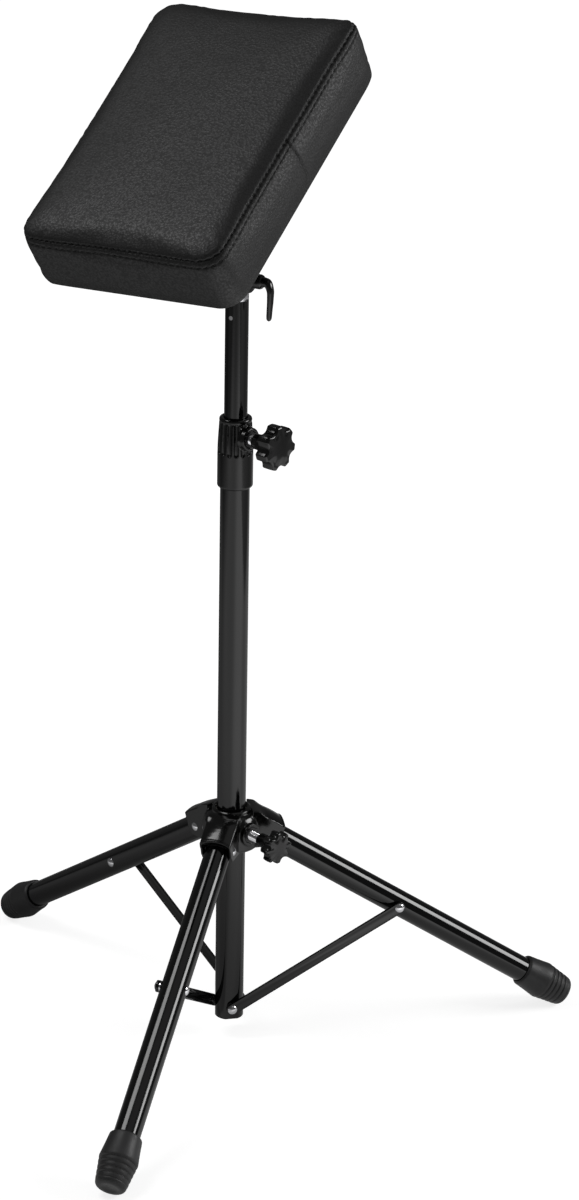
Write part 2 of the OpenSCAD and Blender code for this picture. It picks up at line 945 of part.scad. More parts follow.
module tilt_yoke() {
  bend_r = 2 * strap_t;
  color([0.75, 0.75, 0.77])
    on_tilt()
      difference() {
        intersection() {
          translate([0, strap_w / 2, 0])
            rotate([90, 0, 0])
              linear_extrude(strap_w)
                difference() {
                  strap_outline(yoke_out / 2, web_z, bend_r);
                  strap_outline(yoke_out / 2 - strap_t, web_z - strap_t / cos(pad_lean), bend_r - strap_t);
                }
          union() {
            bar_x(strap_w / 2, -yoke_out, yoke_out);
            translate([-yoke_out, -strap_w / 2, 0])
              cube([2 * yoke_out, strap_w, pad_rise]);
          }
        }
        bar_x(tilt_bolt_d / 2 + fit, -yoke_out, yoke_out);
      }
}

// Outline of the bent strap: open at the bottom, with two round bends and a top that leans with the pad
module strap_outline(half, top, r) {
  centres = [for (x = [r - half, half - r]) [x, top + x * tan(pad_lean) - r / cos(pad_lean)]];
  up = r * [-sin(pad_lean), cos(pad_lean)];
  polygon([[-half, -strap_w], [half, -strap_w], [half, centres[1][1]],
    centres[1] + up, centres[0] + up, [-half, centres[0][1]]]);
  for (c = centres) {
    translate(c)
      circle(r = r);
  }
}

module rounded_slab(w, len, r, t) {
  linear_extrude(t)
    union() {
      square([w - 2 * r, len], center = true);
      square([w, len - 2 * r], center = true);
      for (x = [-1, 1]) {
        for (y = [-1, 1]) {
          translate([x * (w / 2 - r), y * (len / 2 - r)])
            circle(r = r);
        }
      }
    }
}

module at_screws(z) {
  for (x = [-1, 1]) {
    for (y = [-1, 1]) {
      translate([x * (plate_w / 2 - screw_inset), y * (plate_len / 2 - screw_inset), z])
        children();
    }
  }
}

module pad_plate() {
  color([0.1, 0.1, 0.1])
    on_pad()
      translate([0, 0, -plate_t])
        difference() {
          rounded_slab(plate_w, plate_len, plate_r, plate_t);
          at_screws(-over)
            cylinder(r = screw_d / 2 + slack, h = plate_t + 2 * over);
        }
}

module plate_screws() {
  color([0.78, 0.78, 0.8])
    on_pad()
      at_screws(-plate_t) {
        cylinder(r = screw_d / 2, h = plate_t + cover_t + board_t - over);
        rotate([180, 0, 0])
          dome_head(screw_head_d, screw_head_t);
      }
}

module tee_nuts() {
  color([0.75, 0.75, 0.77])
    on_pad()
      at_screws(cover_t + board_t)
        difference() {
          union() {
            translate([0, 0, -tee_t])
              cylinder(r = tee_d / 2, h = tee_t);
            translate([0, 0, -board_t + 2 * tee_t])
              cylinder(r = tee_barrel_d / 2, h = board_t - 2 * tee_t);
          }
          translate([0, 0, -board_t])
            cylinder(r = screw_d / 2 + fit, h = board_t + over);
        }
}

module pad_board() {
  inset = cover_t + board_gap + band_shares[0][1] * cover_t;
  color([0.72, 0.55, 0.36])
    on_pad()
      translate([0, pad_shift, cover_t])
        difference() {
          rounded_slab(pad_w - 2 * inset, pad_len - 2 * inset, pad_corner_r, board_t);
          translate([0, -pad_shift, 0])
            at_screws(0) {
              translate([0, 0, board_t - tee_t])
                cylinder(r = tee_d / 2 + fit, h = tee_t + over);
              translate([0, 0, -over])
                cylinder(r = tee_barrel_d / 2 + fit, h = board_t);
            }
        }
}

module dust_cloth() {
  inset = hem_w + cloth_gap;
  color([0.05, 0.05, 0.05])
    on_pad()
      translate([0, pad_shift, 0])
        difference() {
          rounded_slab(pad_w - 2 * inset, pad_len - 2 * inset, least_corner, cover_t);
          translate([0, -pad_shift, 0])
            at_screws(-over)
              cylinder(r = screw_d / 2 + slack, h = cover_t + 2 * over);
        }
}

// One closed ring of the pad's plan outline, drawn in by an inset and lifted to z
function ring(inset, z) = let(hx = pad_w / 2 - inset, hy = pad_len / 2 - inset, r = pad_corner_r)
  concat(
    [for (i = [0:corner_steps]) let(t = 90 * i / corner_steps) [hx - r + r * cos(t), hy - r + r * sin(t), z]],
    [for (i = [1:short_steps - 1]) [(hx - r) * (1 - 2 * i / short_steps), hy, z]],
    [for (i = [0:corner_steps]) let(t = 90 + 90 * i / corner_steps)
      [r - hx + r * cos(t), hy - r + r * sin(t), z]],
    [for (i = [1:long_steps - 1]) [-hx, (hy - r) * (1 - 2 * i / long_steps), z]],
    [for (i = [0:corner_steps]) let(t = 180 + 90 * i / corner_steps)
      [r - hx + r * cos(t), r - hy + r * sin(t), z]],
    [for (i = [1:short_steps - 1]) [(r - hx) * (1 - 2 * i / short_steps), -hy, z]],
    [for (i = [0:corner_steps]) let(t = 270 + 90 * i / corner_steps)
      [hx - r + r * cos(t), r - hy + r * sin(t), z]],
    [for (i = [1:long_steps - 1]) [hx, (r - hy) * (1 - 2 * i / long_steps), z]]);

// Side and top of the cushion, drawn in by a skin thickness all round
function cushion_rings(skin) = concat(
  [for (p = band_shares) ring(p[1] * cover_t + skin, p[0] * band_h)],
  [for (p = crown_shares) ring(seam_in_share * cover_t + skin + p[1] * pad_w / 2 * last_inset_share,
    band_h + p[0] * crown_h - skin)]);

// Closed solid through a list of rings. Each flat end is a fan around its middle point
module skin_over(rings) {
  last = len(rings) - 1;
  low = (last + 1) * ring_n;
  polyhedron(
    points = concat([for (r = rings) for (p = r) p],
      [[0, 0, rings[0][0][2]], [0, 0, rings[last][0][2]]]),
    faces = concat(
      [for (i = [0:ring_n - 1]) [i, (i + 1) % ring_n, low]],
      [for (j = [0:last - 1]) for (i = [0:ring_n - 1]) let(n = (i + 1) % ring_n)
        [j * ring_n + i, (j + 1) * ring_n + i, (j + 1) * ring_n + n]],
      [for (j = [0:last - 1]) for (i = [0:ring_n - 1]) let(n = (i + 1) % ring_n)
        [j * ring_n + i, (j + 1) * ring_n + n, j * ring_n + n]],
      [for (i = [0:ring_n - 1]) [last * ring_n + (i + 1) % ring_n, last * ring_n + i, low + 1]]));
}

// The cushion's form from a floor height up
module cushion(skin, floor_z) {
  upper = [for (r = cushion_rings(skin)) if (r[0][2] > floor_z + over) r];
  skin_over(concat([ring(band_shares[0][1] * cover_t + skin, floor_z)], upper));
}

module pad_foam() {
  color([0.93, 0.85, 0.55])
    on_pad()
      translate([0, pad_shift, 0])
        cushion(cover_t + foam_gap, cover_t + board_t);
}

module pad_cover() {
  color([0.16, 0.16, 0.16])
    on_pad()
      translate([0, pad_shift, 0])
        difference() {
          cushion(0, 0);
          cushion(cover_t, cover_t);
          translate([hem_w - pad_w / 2, hem_w - pad_len / 2, -over])
            cube([pad_w - 2 * hem_w, pad_len - 2 * hem_w, cover_t + 2 * over]);
        }
}

column_tube();
column_plug();
column_rivets();
column_washers();
clamp_collar();
collar_nut();
collar_shoe();
collar_knob();
collar_stud();
hub_body();
hub_bush();
hub_nut();
hub_shoe();
leg_pins();
hub_knob();
hub_stud();
leg_tube(0);  // leg_tube_1
leg_tube(1);  // leg_tube_2
leg_tube(2);  // leg_tube_3
leg_knuckle(0);  // leg_knuckle_1
leg_knuckle(1);  // leg_knuckle_2
leg_knuckle(2);  // leg_knuckle_3
foot_tip(0);  // foot_tip_1
foot_tip(1);  // foot_tip_2
foot_tip(2);  // foot_tip_3
leg_rivet(0);  // leg_rivet_1
leg_rivet(1);  // leg_rivet_2
leg_rivet(2);  // leg_rivet_3
brace_bar(0);  // brace_bar_1
brace_bar(1);  // brace_bar_2
brace_bar(2);  // brace_bar_3
brace_rivet(0);  // brace_rivet_1
brace_rivet(1);  // brace_rivet_2
brace_rivet(2);  // brace_rivet_3
mast_guide();
mast_tube();
mast_head();
mast_cross_pin();
tilt_bolt();
friction_washers();
lever_washer();
lever_handle();
lever_insert();
tilt_yoke();
pad_plate();
plate_screws();
tee_nuts();
pad_board();
pad_foam();
pad_cover();
dust_cloth();
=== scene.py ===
"""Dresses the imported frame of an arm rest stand, and sets its light and camera.

Lengths are in millimetres in the frame of the sub-assembly that they belong to,
and become metres where a mesh is made.
"""
import logging
import math
from dataclasses import dataclass, field
from enum import Enum
from typing import Callable, Sequence

import bpy
import numpy as np
from mathutils import Matrix, Vector
from mathutils.kdtree import KDTree


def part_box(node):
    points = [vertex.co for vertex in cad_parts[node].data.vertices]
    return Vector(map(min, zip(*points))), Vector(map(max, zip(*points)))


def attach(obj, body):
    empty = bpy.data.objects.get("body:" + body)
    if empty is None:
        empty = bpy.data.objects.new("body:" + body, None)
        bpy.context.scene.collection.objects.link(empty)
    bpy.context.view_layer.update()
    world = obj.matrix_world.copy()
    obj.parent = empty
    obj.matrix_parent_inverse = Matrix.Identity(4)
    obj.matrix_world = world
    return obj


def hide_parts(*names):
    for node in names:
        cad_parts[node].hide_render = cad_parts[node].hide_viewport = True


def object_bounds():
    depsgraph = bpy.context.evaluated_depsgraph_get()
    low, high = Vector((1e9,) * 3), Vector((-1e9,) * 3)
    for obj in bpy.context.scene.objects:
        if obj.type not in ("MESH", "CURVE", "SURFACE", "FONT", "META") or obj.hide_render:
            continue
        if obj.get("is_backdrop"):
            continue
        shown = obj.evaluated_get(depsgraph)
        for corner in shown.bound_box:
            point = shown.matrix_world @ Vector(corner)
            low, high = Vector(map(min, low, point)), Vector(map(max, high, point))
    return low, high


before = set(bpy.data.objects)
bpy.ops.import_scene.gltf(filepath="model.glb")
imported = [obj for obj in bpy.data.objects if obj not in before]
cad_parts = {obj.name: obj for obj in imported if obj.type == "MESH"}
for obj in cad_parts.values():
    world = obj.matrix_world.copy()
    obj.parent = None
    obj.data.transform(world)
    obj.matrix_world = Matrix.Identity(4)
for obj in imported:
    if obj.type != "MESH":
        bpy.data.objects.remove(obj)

LOG = logging.getLogger("arm_rest")
MM = 0.001
COLUMN_X = 36.5459
COLUMN_Y = 49.4759
PIVOT_Z = 214.734
TILT_Z = 777.05
LEG_TURNS = (42.7, 162.7, 282.7)
LEG_PITCH = 33.5
LEG_PIVOT_R = 36.2
HUB_KNOB_TURN = -17.3
HUB_KNOB_Z = 224.234
STAR_TURN = -11.0
STAR_Z = 624.5
PAD_TILT = 34.2
PAD_LEAN = -3.3
PAD_RISE = 112.0
WELD_GAP = 0.000002

Point = tuple[float, float, float]
Socket = bpy.types.NodeSocket
Feed = Socket | float | tuple[float, ...] | str
Pairs = Sequence[tuple[float, float]]


class Slot(Enum):
    """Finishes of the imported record, and the few that only the dressing has."""

    PAINT = "black_paint"
    NYLON = "black_nylon"
    DULL = "dull_nylon"
    CHROME = "bright_steel"
    STEEL = "silver_steel"
    BRASS = "brass_shoe"
    RUBBER = "black_rubber"
    BUSH = "pale_nylon"
    PLY = "plywood"
    FOAM = "foam"
    LEATHER = "charcoal_leather"
    CLOTH = "black_cloth"


# Materials and finishes


class Bench:
    """Lays out nodes in a tree."""

    def __init__(self, tree: bpy.types.NodeTree) -> None:
        """Starts with an empty tree.

        Args:
            tree: Tree to fill.
        """
        self.tree = tree
        tree.nodes.clear()

    def link(self, source: Feed, target: Socket) -> None:
        """Joins a socket to a socket, or sets a plain value on it.

        Args:
            source: Socket or value that feeds the target.
            target: Socket that is fed.
        """
        if isinstance(source, Socket):
            self.tree.links.new(source, target)
        else:
            target.default_value = source

    def add(self, kind: str, feeds: dict[str | int, Feed] | None = None, **settings: str) -> bpy.types.Node:
        """Adds one node.

        Args:
            kind: Kind of node, where a shader's comes without its ShaderNode.
            feeds: What feeds its inputs, by name or number.
            **settings: Properties that are set before the inputs are fed.

        Returns:
            The node.
        """
        node = self.tree.nodes.new(kind if "Node" in kind else "ShaderNode" + kind)
        for name, value in settings.items():
            setattr(node, name, value)
        for key, source in (feeds or {}).items():
            self.link(source, node.inputs[key])
        return node

    def span(self, value: Socket, low: float, high: float, to_low: float, to_high: float) -> Socket:
        """Maps one range of a value smoothly to another.

        Args:
            value: Value to map.
            low: Start of its range.
            high: End of its range.
            to_low: Result at the start.
            to_high: Result at the end.

        Returns:
            The mapped value, held inside its range.
        """
        feeds = dict(enumerate((value, low, high, to_low, to_high)))
        return self.add("MapRange", feeds, interpolation_type="SMOOTHSTEP").outputs[0]

    def sum(self, kind: str, first: Feed, second: Feed) -> Socket:
        """One step of arithmetic.

        Args:
            kind: Name of the operation, such as MULTIPLY.
            first: First value.
            second: Second value.

        Returns:
            The result.
        """
        return self.add("Math", {0: first, 1: second}, operation=kind).outputs[0]


class NodeBench(Bench):
    """Lays out the nodes of one material round a Principled shader."""

    def __init__(self, name: str) -> None:
        """Makes an empty material.

        Args:
            name: Name of the material.
        """
        self.material = bpy.data.materials.new(name)
        self.material.use_nodes = True
        super().__init__(self.material.node_tree)
        self.out = self.add("OutputMaterial")
        self.shader = self.add("BsdfPrincipled")
        self.link(self.shader.outputs[0], self.out.inputs["Surface"])
        coords = self.add("TexCoord")
        self.place = coords.outputs["Object"]
        self.normal = coords.outputs["Normal"]

    def stretch(self, scale: Point) -> Socket:
        """Object coordinates, scaled along each axis.

        Args:
            scale: Factor along X, Y and Z.

        Returns:
            The scaled vector.
        """
        return self.add("Mapping", {"Scale": scale, "Vector": self.place}).outputs[0]

    def noise(
        self, scale: float, detail: float = 3.0, rough: float = 0.5, place: Socket | None = None
    ) -> Socket:
        """Soft noise between 0 and 1.

        Args:
            scale: Waves a metre.
            detail: Octaves.
            rough: Strength of the finer octaves.
            place: Vector to read it at, or None for the object's own.

        Returns:
            The noise's value.
        """
        feeds = {"Scale": scale, "Detail": detail, "Roughness": rough, "Vector": place or self.place}
        return self.add("TexNoise", feeds).outputs[0]

    def cells(self, scale: float, soft: float = 0.6, place: Socket | None = None) -> Socket:
        """Distance to the middle of rounded cells.

        Args:
            scale: Cells a metre.
            soft: How much the cells run into each other.
            place: Vector to read it at, or None for the object's own.

        Returns:
            The distance, 0 in the middle of each cell.
        """
        feeds = {"Scale": scale, "Smoothness": soft, "Vector": place or self.place}
        return self.add("TexVoronoi", feeds, feature="SMOOTH_F1").outputs["Distance"]

    def bent(self, scale: float, amount: float) -> Socket:
        """Object coordinates that wander a little.

        Args:
            scale: Waves a metre.
            amount: Furthest shift in metres.

        Returns:
            The shifted vector.
        """
        noise = self.add("TexNoise", {"Scale": scale, "Vector": self.place})
        feeds = {0: noise.outputs["Color"], 1: (amount,) * 3, 2: self.place}
        return self.add("VectorMath", feeds, operation="MULTIPLY_ADD").outputs[0]

    def blend(self, share: Socket, first: Point, second: Point) -> Socket:
        """Colour between two colours.

        Args:
            share: 0 for the first colour, 1 for the second.
            first: Colour at 0.
            second: Colour at 1.

        Returns:
            The mixed colour.
        """
        feeds = {0: share, 6: (*first, 1.0), 7: (*second, 1.0)}
        return self.add("Mix", feeds, data_type="RGBA").outputs[2]

    def bump(
        self, height: Socket, depth: float, strength: float = 1.0, before: Socket | None = None
    ) -> Socket:
        """Relief from a height.

        Args:
            height: Height between 0 and 1.
            depth: Real height of the relief, in metres.
            strength: Share of the relief that shows.
            before: Coarser relief that this one is added to.

        Returns:
            The bent normal.
        """
        feeds = {"Strength": strength, "Distance": depth, "Height": height}
        if before is not None:
            feeds["Normal"] = before
        return self.add("Bump", feeds).outputs[0]

    def set(self, **values: Feed) -> None:
        """Sets the shader's sockets.

        Args:
            **values: Socket names with _ for each space, and what feeds them.
        """
        for name, value in values.items():
            colour = isinstance(value, tuple)
            self.link((*value, 1.0) if colour else value, self.shader.inputs[name.replace("_", " ")])


@dataclass(frozen=True)
class Finish:
    """One finish: a base colour, how it varies, its gloss and its fine relief."""

    name: str
    colour: Point
    # Second colour: wear, specks and grain tone in most finishes, and painted shade in the creases of the
    # leather's grain.
    worn_and_crease_shade: Point
    gloss: tuple[float, float]
    relief: float = 0.00002
    grain: float = 1500.0
    metal: float = 0.0
    specular: float = 0.5
    sheen: float = 0.0

    def build(self) -> bpy.types.Material:
        """Makes the finish's material.

        Returns:
            The material.
        """
        bench = NodeBench(self.name)
        patches = bench.span(bench.noise(35.0, 4.0, 0.6), 0.35, 0.75, 0.0, 1.0)
        fine = bench.noise(self.grain, 4.0, 0.6)
        bench.set(
            Base_Color=bench.blend(patches, self.colour, self.worn_and_crease_shade),
            Roughness=bench.span(bench.noise(60.0, 5.0, 0.65), 0.3, 0.75, *self.gloss),
            Metallic=self.metal,
            Specular_IOR_Level=self.specular,
            Sheen_Weight=self.sheen,
            Normal=bench.bump(fine, self.relief),
        )
        return bench.material


@dataclass(frozen=True)
class Paint(Finish):
    """Baked gloss paint with a slight orange peel and a few dull rubs."""

    def build(self) -> bpy.types.Material:
        """Makes the paint's material.

        Returns:
            The material.
        """
        bench = NodeBench(self.name)
        peel = bench.bump(bench.noise(420.0, 2.0, 0.4), 0.000025, 0.5)
        rubs = bench.span(bench.noise(24.0, 6.0, 0.7), 0.56, 0.8, 0.0, 1.0)
        rough = bench.span(bench.noise(9.0, 3.0), 0.3, 0.7, *self.gloss)
        bench.set(
            Base_Color=bench.blend(rubs, self.colour, self.worn_and_crease_shade),
            Roughness=bench.sum("ADD", rough, bench.sum("MULTIPLY", rubs, 0.08)),
            Specular_IOR_Level=self.specular,
            Normal=bench.bump(bench.noise(self.grain, 2.0), self.relief, 0.5, peel),
        )
        return bench.material


@dataclass(frozen=True)
class Metal(Finish):
    """Plated or drawn metal, with fine lines along one axis and dull specks."""

    lines: Point = (400.0, 400.0, 400.0)

    def build(self) -> bpy.types.Material:
        """Makes the metal's material.

        Returns:
            The material.
        """
        bench = NodeBench(self.name)
        drawn = bench.noise(1.0, 4.0, 0.6, bench.stretch(self.lines))
        specks = bench.span(bench.noise(180.0, 5.0, 0.7), 0.58, 0.72, 0.0, 1.0)
        rough = bench.span(drawn, 0.3, 0.7, *self.gloss)
        bench.set(
            Base_Color=bench.blend(specks, self.colour, self.worn_and_crease_shade),
            Roughness=bench.sum("ADD", rough, bench.sum("MULTIPLY", specks, 0.12)),
            Metallic=self.metal,
            Normal=bench.bump(drawn, self.relief, 0.6),
        )
        return bench.material


@dataclass(frozen=True)
class Leather(Finish):
    """Pebbled leather cloth: rounded grain with painted shade in its creases, and a smoother roll painted
    darker as painted shade.
    """

    pebble: float = 470.0

    def build(self) -> bpy.types.Material:
        """Makes the leather's material.

        Returns:
            The material.
        """
        bench = NodeBench(self.name)
        wander = bench.bent(140.0, 0.003)
        pebbles = bench.cells(self.pebble, 0.55, wander)
        small = bench.cells(self.pebble * 2.3, 0.7, wander)
        height = bench.sum("SUBTRACT", 1.0, bench.sum("ADD", pebbles, bench.sum("MULTIPLY", small, 0.35)))
        crease = bench.span(height, 0.05, 0.55, 0.0, 1.0)
        up = bench.add("SeparateXYZ", {0: bench.normal}).outputs[2]
        rising = bench.span(up, 0.08, 0.4, 0.0, 1.0)
        falling = bench.span(up, 0.84, 0.998, 1.0, 0.0)
        roll = bench.sum("MULTIPLY", rising, falling)
        patches = bench.span(bench.noise(22.0, 3.0, 0.55), 0.3, 0.7, 0.88, 1.12)
        # The grain's creases take the darker second colour: painted shade in the creases.
        dark = bench.blend(crease, self.worn_and_crease_shade, self.colour)
        # The roll between band and top is painted up to 72 % darker: painted shade where the shoulder turns
        # away from the light. The patches are the leather's own tone.
        shade = bench.sum("MULTIPLY", patches, bench.sum("SUBTRACT", 1.0, bench.sum("MULTIPLY", roll, 0.72)))
        tone = bench.add("Mix", {0: 1.0, 6: dark, 7: shade}, data_type="RGBA", blend_type="MULTIPLY")
        rough = bench.span(height, 0.1, 0.7, self.gloss[1], self.gloss[0])
        soft = bench.bump(bench.noise(48.0, 3.0), 0.0009, 0.5)
        bench.set(
            Base_Color=tone.outputs[2],
            Roughness=bench.sum("ADD", rough, bench.sum("MULTIPLY", roll, 0.12)),
            Specular_IOR_Level=self.specular,
            Normal=bench.bump(height, self.relief, 0.8, soft),
        )
        return bench.material


@dataclass(frozen=True)
class Plywood(Finish):
    """Birch plywood: grain along the board, and plies that show at its edges."""

    def build(self) -> bpy.types.Material:
        """Makes the plywood's material.

        Returns:
            The material.
        """
        bench = NodeBench(self.name)
        grain = bench.noise(1.0, 6.0, 0.65, bench.stretch((260.0, 14.0, 260.0)))
        bands = bench.noise(1.0, 2.0, 0.5, bench.stretch((3.0, 3.0, 520.0)))
        share = bench.span(bench.sum("MULTIPLY", grain, bands), 0.1, 0.4, 0.0, 1.0)
        bench.set(
            Base_Color=bench.blend(share, self.worn_and_crease_shade, self.colour),
            Roughness=bench.span(grain, 0.3, 0.7, *self.gloss),
            Normal=bench.bump(grain, self.relief, 0.8),
        )
        return bench.material


@dataclass(frozen=True)
class Felt(Finish):
    """Non-woven cloth: short fibres pressed together in small dimples."""

    def build(self) -> bpy.types.Material:
        """Makes the cloth's material.

        Returns:
            The material.
        """
        bench = NodeBench(self.name)
        fibres = bench.noise(1.0, 5.0, 0.75, bench.stretch((900.0, 2600.0, 1500.0)))
        dimples = bench.cells(480.0, 0.3)
        share = bench.span(bench.sum("ADD", fibres, dimples), 0.5, 1.1, 0.0, 1.0)
        bench.set(
            Base_Color=bench.blend(share, self.colour, self.worn_and_crease_shade),
            Roughness=bench.span(fibres, 0.3, 0.7, *self.gloss),
            Sheen_Weight=self.sheen,
            Normal=bench.bump(dimples, 0.0002, 0.7, bench.bump(fibres, self.relief)),
        )
        return bench.material


BLACK = (0.0018, 0.0018, 0.002)
FINISHES: dict[Slot, Finish] = {
    Slot.PAINT: Paint("gloss_paint", BLACK, (0.004, 0.004, 0.004), (0.06, 0.12), 0.000004, 2500.0),
    Slot.NYLON: Paint("gloss_nylon", (0.0025,) * 3, (0.006,) * 3, (0.10, 0.2), 0.000008, 1800.0),
    Slot.DULL: Finish("dull_nylon", (0.014, 0.014, 0.015), (0.02, 0.02, 0.021), (0.38, 0.52)),
    Slot.CHROME: Metal(
        "bright_steel", (0.78, 0.78, 0.80), (0.55, 0.55, 0.56), (0.08, 0.18), 0.000004, metal=1.0
    ),
    Slot.STEEL: Metal(
        "silver_steel", (0.6, 0.6, 0.62), (0.42, 0.42, 0.43), (0.24, 0.38), 0.000008, metal=1.0
    ),
    Slot.BRASS: Metal("brass", (0.62, 0.45, 0.2), (0.4, 0.27, 0.1), (0.22, 0.36), 0.000006, metal=1.0),
    Slot.RUBBER: Finish(
        "tip_rubber", (0.016, 0.016, 0.0165), (0.024, 0.024, 0.0245), (0.42, 0.58), 0.00004, 2200.0
    ),
    Slot.BUSH: Finish("pale_nylon", (0.62, 0.61, 0.56), (0.5, 0.49, 0.44), (0.35, 0.5), 0.00001),
    Slot.PLY: Plywood("plywood", (0.56, 0.38, 0.21), (0.34, 0.2, 0.1), (0.55, 0.75), 0.00012),
    Slot.FOAM: Finish("foam", (0.72, 0.62, 0.36), (0.6, 0.5, 0.26), (0.85, 0.95), 0.0004, 1200.0),
    # Its second colour is painted shade in the grain's creases; the shader also paints its roll darker as
    # painted shade.
    Slot.LEATHER: Leather("charcoal_leather", (0.0126, 0.0126, 0.013), (0.0035,) * 3, (0.44, 0.62), 0.00032),
    Slot.CLOTH: Felt(
        "under_cloth", (0.010, 0.010, 0.011), (0.022, 0.022, 0.023), (0.85, 0.95), 0.0002, sheen=0.3
    ),
}
THREAD = Finish("black_thread", (0.006,) * 3, (0.014,) * 3, (0.55, 0.7), 0.00005, 5000.0)


class FinishShelf:
    """Keeps each finish's material, made once."""

    def __init__(self) -> None:
        """Starts empty."""
        self.made: dict[str, bpy.types.Material] = {}

    def get(self, finish: Finish) -> bpy.types.Material:
        """Material of a finish.

        Args:
            finish: Finish to take.

        Returns:
            Its material.
        """
        if finish.name not in self.made:
            self.made[finish.name] = finish.build()
        return self.made[finish.name]


SHELF = FinishShelf()

# Shapes that the pieces are made of


def turned(axis: str, degrees: float) -> Matrix:
    """Rotation about one axis, as OpenSCAD's rotate gives it."""
    return Matrix.Rotation(math.radians(degrees), 4, axis)


def moved(x: float, y: float, z: float) -> Matrix:
    """Shift by a distance in millimetres."""
    return Matrix.Translation((x * MM, y * MM, z * MM))


def leg_place(index: int) -> Matrix:
    """Frame of a leg: its origin is the pivot and +X runs down the leg.

    Args:
        index: 0 to 2.

    Returns:
        The frame.
    """
    out = moved(COLUMN_X, COLUMN_Y, PIVOT_Z) @ turned("Z", LEG_TURNS[index])
    return out @ moved(LEG_PIVOT_R, 0, 0) @ turned("Y", LEG_PITCH)


def knob_place(turn: float, height: float) -> Matrix:
    """Frame of a knob: the origin is on the column's axis and +X runs out along the stud.

    Args:
        turn: Direction of the stud, in degrees.
        height: Height of the stud.

    Returns:
        The frame.
    """
    return moved(COLUMN_X, COLUMN_Y, height) @ turned("Z", turn)


def pad_place() -> Matrix:
    """Frame of the pad: the origin is the middle of its underside and +Z is its top."""
    out = moved(COLUMN_X, COLUMN_Y, TILT_Z) @ turned("X", PAD_TILT) @ moved(0, 0, PAD_RISE)
    return out @ turned("Y", PAD_LEAN) @ moved(0, 20, 3)


def steady(xs: Sequence[float], ys: Sequence[float], at: np.ndarray) -> np.ndarray:
    """Smooth curve through points that never overshoots them.

    Args:
        xs: Rising positions.
        ys: Values there.
        at: Positions to read.

    Returns:
        The values at those positions.
    """
    x, y = np.asarray(xs, float), np.asarray(ys, float)
    gap = np.diff(x)
    rise = np.diff(y) / gap
    slope = np.zeros_like(y)
    slope[0], slope[-1] = rise[0], rise[-1]
    for i in range(1, len(y) - 1):
        if rise[i - 1] * rise[i] > 0:
            a, b = 2 * gap[i] + gap[i - 1], gap[i] + 2 * gap[i - 1]
            slope[i] = (a + b) / (a / rise[i - 1] + b / rise[i])
    k = np.clip(np.searchsorted(x, at, side="right") - 1, 0, len(gap) - 1)
    t = (np.clip(at, x[0], x[-1]) - x[k]) / gap[k]
    a = (1 + 2 * t) * (1 - t) ** 2
    b = t * (1 - t) ** 2
    c = t * t * (3 - 2 * t)
    d = t * t * (t - 1)
    return a * y[k] + b * gap[k] * slope[k] + c * y[k + 1] + d * gap[k] * slope[k + 1]


def ease(value: np.ndarray | float, low: float, high: float) -> np.ndarray:
    """Smooth step from 0 at low to 1 at high."""
    t = np.clip((np.asarray(value, float) - low) / (high - low), 0, 1)
    return t * t * (3 - 2 * t)


def bell(value: np.ndarray, middle: float, width: float, power: float = 2) -> np.ndarray:
    """Rise to 1 at a middle that fades out on both sides.

    Args:
        value: Places to read it at.
        middle: Place of the top.
        width: Distance at which about a third is left.
        power: Steepness, where 2 is a plain bell.

    Returns:
        The height at each place, from 0 to 1.
    """
    return np.exp(-(np.abs(value - middle) / width) ** power)


def lengths(path: np.ndarray) -> np.ndarray:
    """Distance along a path to each of its points."""
    return np.concatenate([[0], np.cumsum(np.linalg.norm(np.diff(path, axis=0), axis=1))])


def hollows(points: np.ndarray) -> np.ndarray:
    """Slow rises and hollows of a hand-made top, in millimetres."""
    return 0.5 * (np.sin(points[..., 0] / 23 + 1.1) * np.sin(points[..., 1] / 31 + 0.4))


def finer(rows: np.ndarray) -> np.ndarray:
    """Doubles the rows of a grid by the four-point rule, which runs a smooth curve through them.

    Args:
        rows: Points as [row, place round, xyz].

    Returns:
        The finer grid.
    """
    before = np.concatenate([rows[:1], rows[:-2]])
    after = np.concatenate([rows[2:], rows[-1:]])
    middle = 0.5625 * (rows[:-1] + rows[1:]) - 0.0625 * (before + after)
    out = np.zeros((2 * len(rows) - 1, *rows.shape[1:]))
    out[::2], out[1::2] = rows, middle
    return out


def about_x(along: Sequence[float], radii: Sequence[float | np.ndarray], around: int) -> np.ndarray:
    """Rings of points about +X.

    Args:
        along: Place of each ring on the axis.
        radii: Radius of each ring, one for all its points or one for each.
        around: Points round each ring.

    Returns:
        Points as [ring, place round, xyz].
    """
    angle = np.arange(around) * 2 * math.pi / around
    rows = np.zeros((len(along), around, 3))
    for row, x, radius in zip(rows, along, radii):
        row[:, 0] = x
        row[:, 1] = radius * np.cos(angle)
        row[:, 2] = radius * np.sin(angle)
    return rows


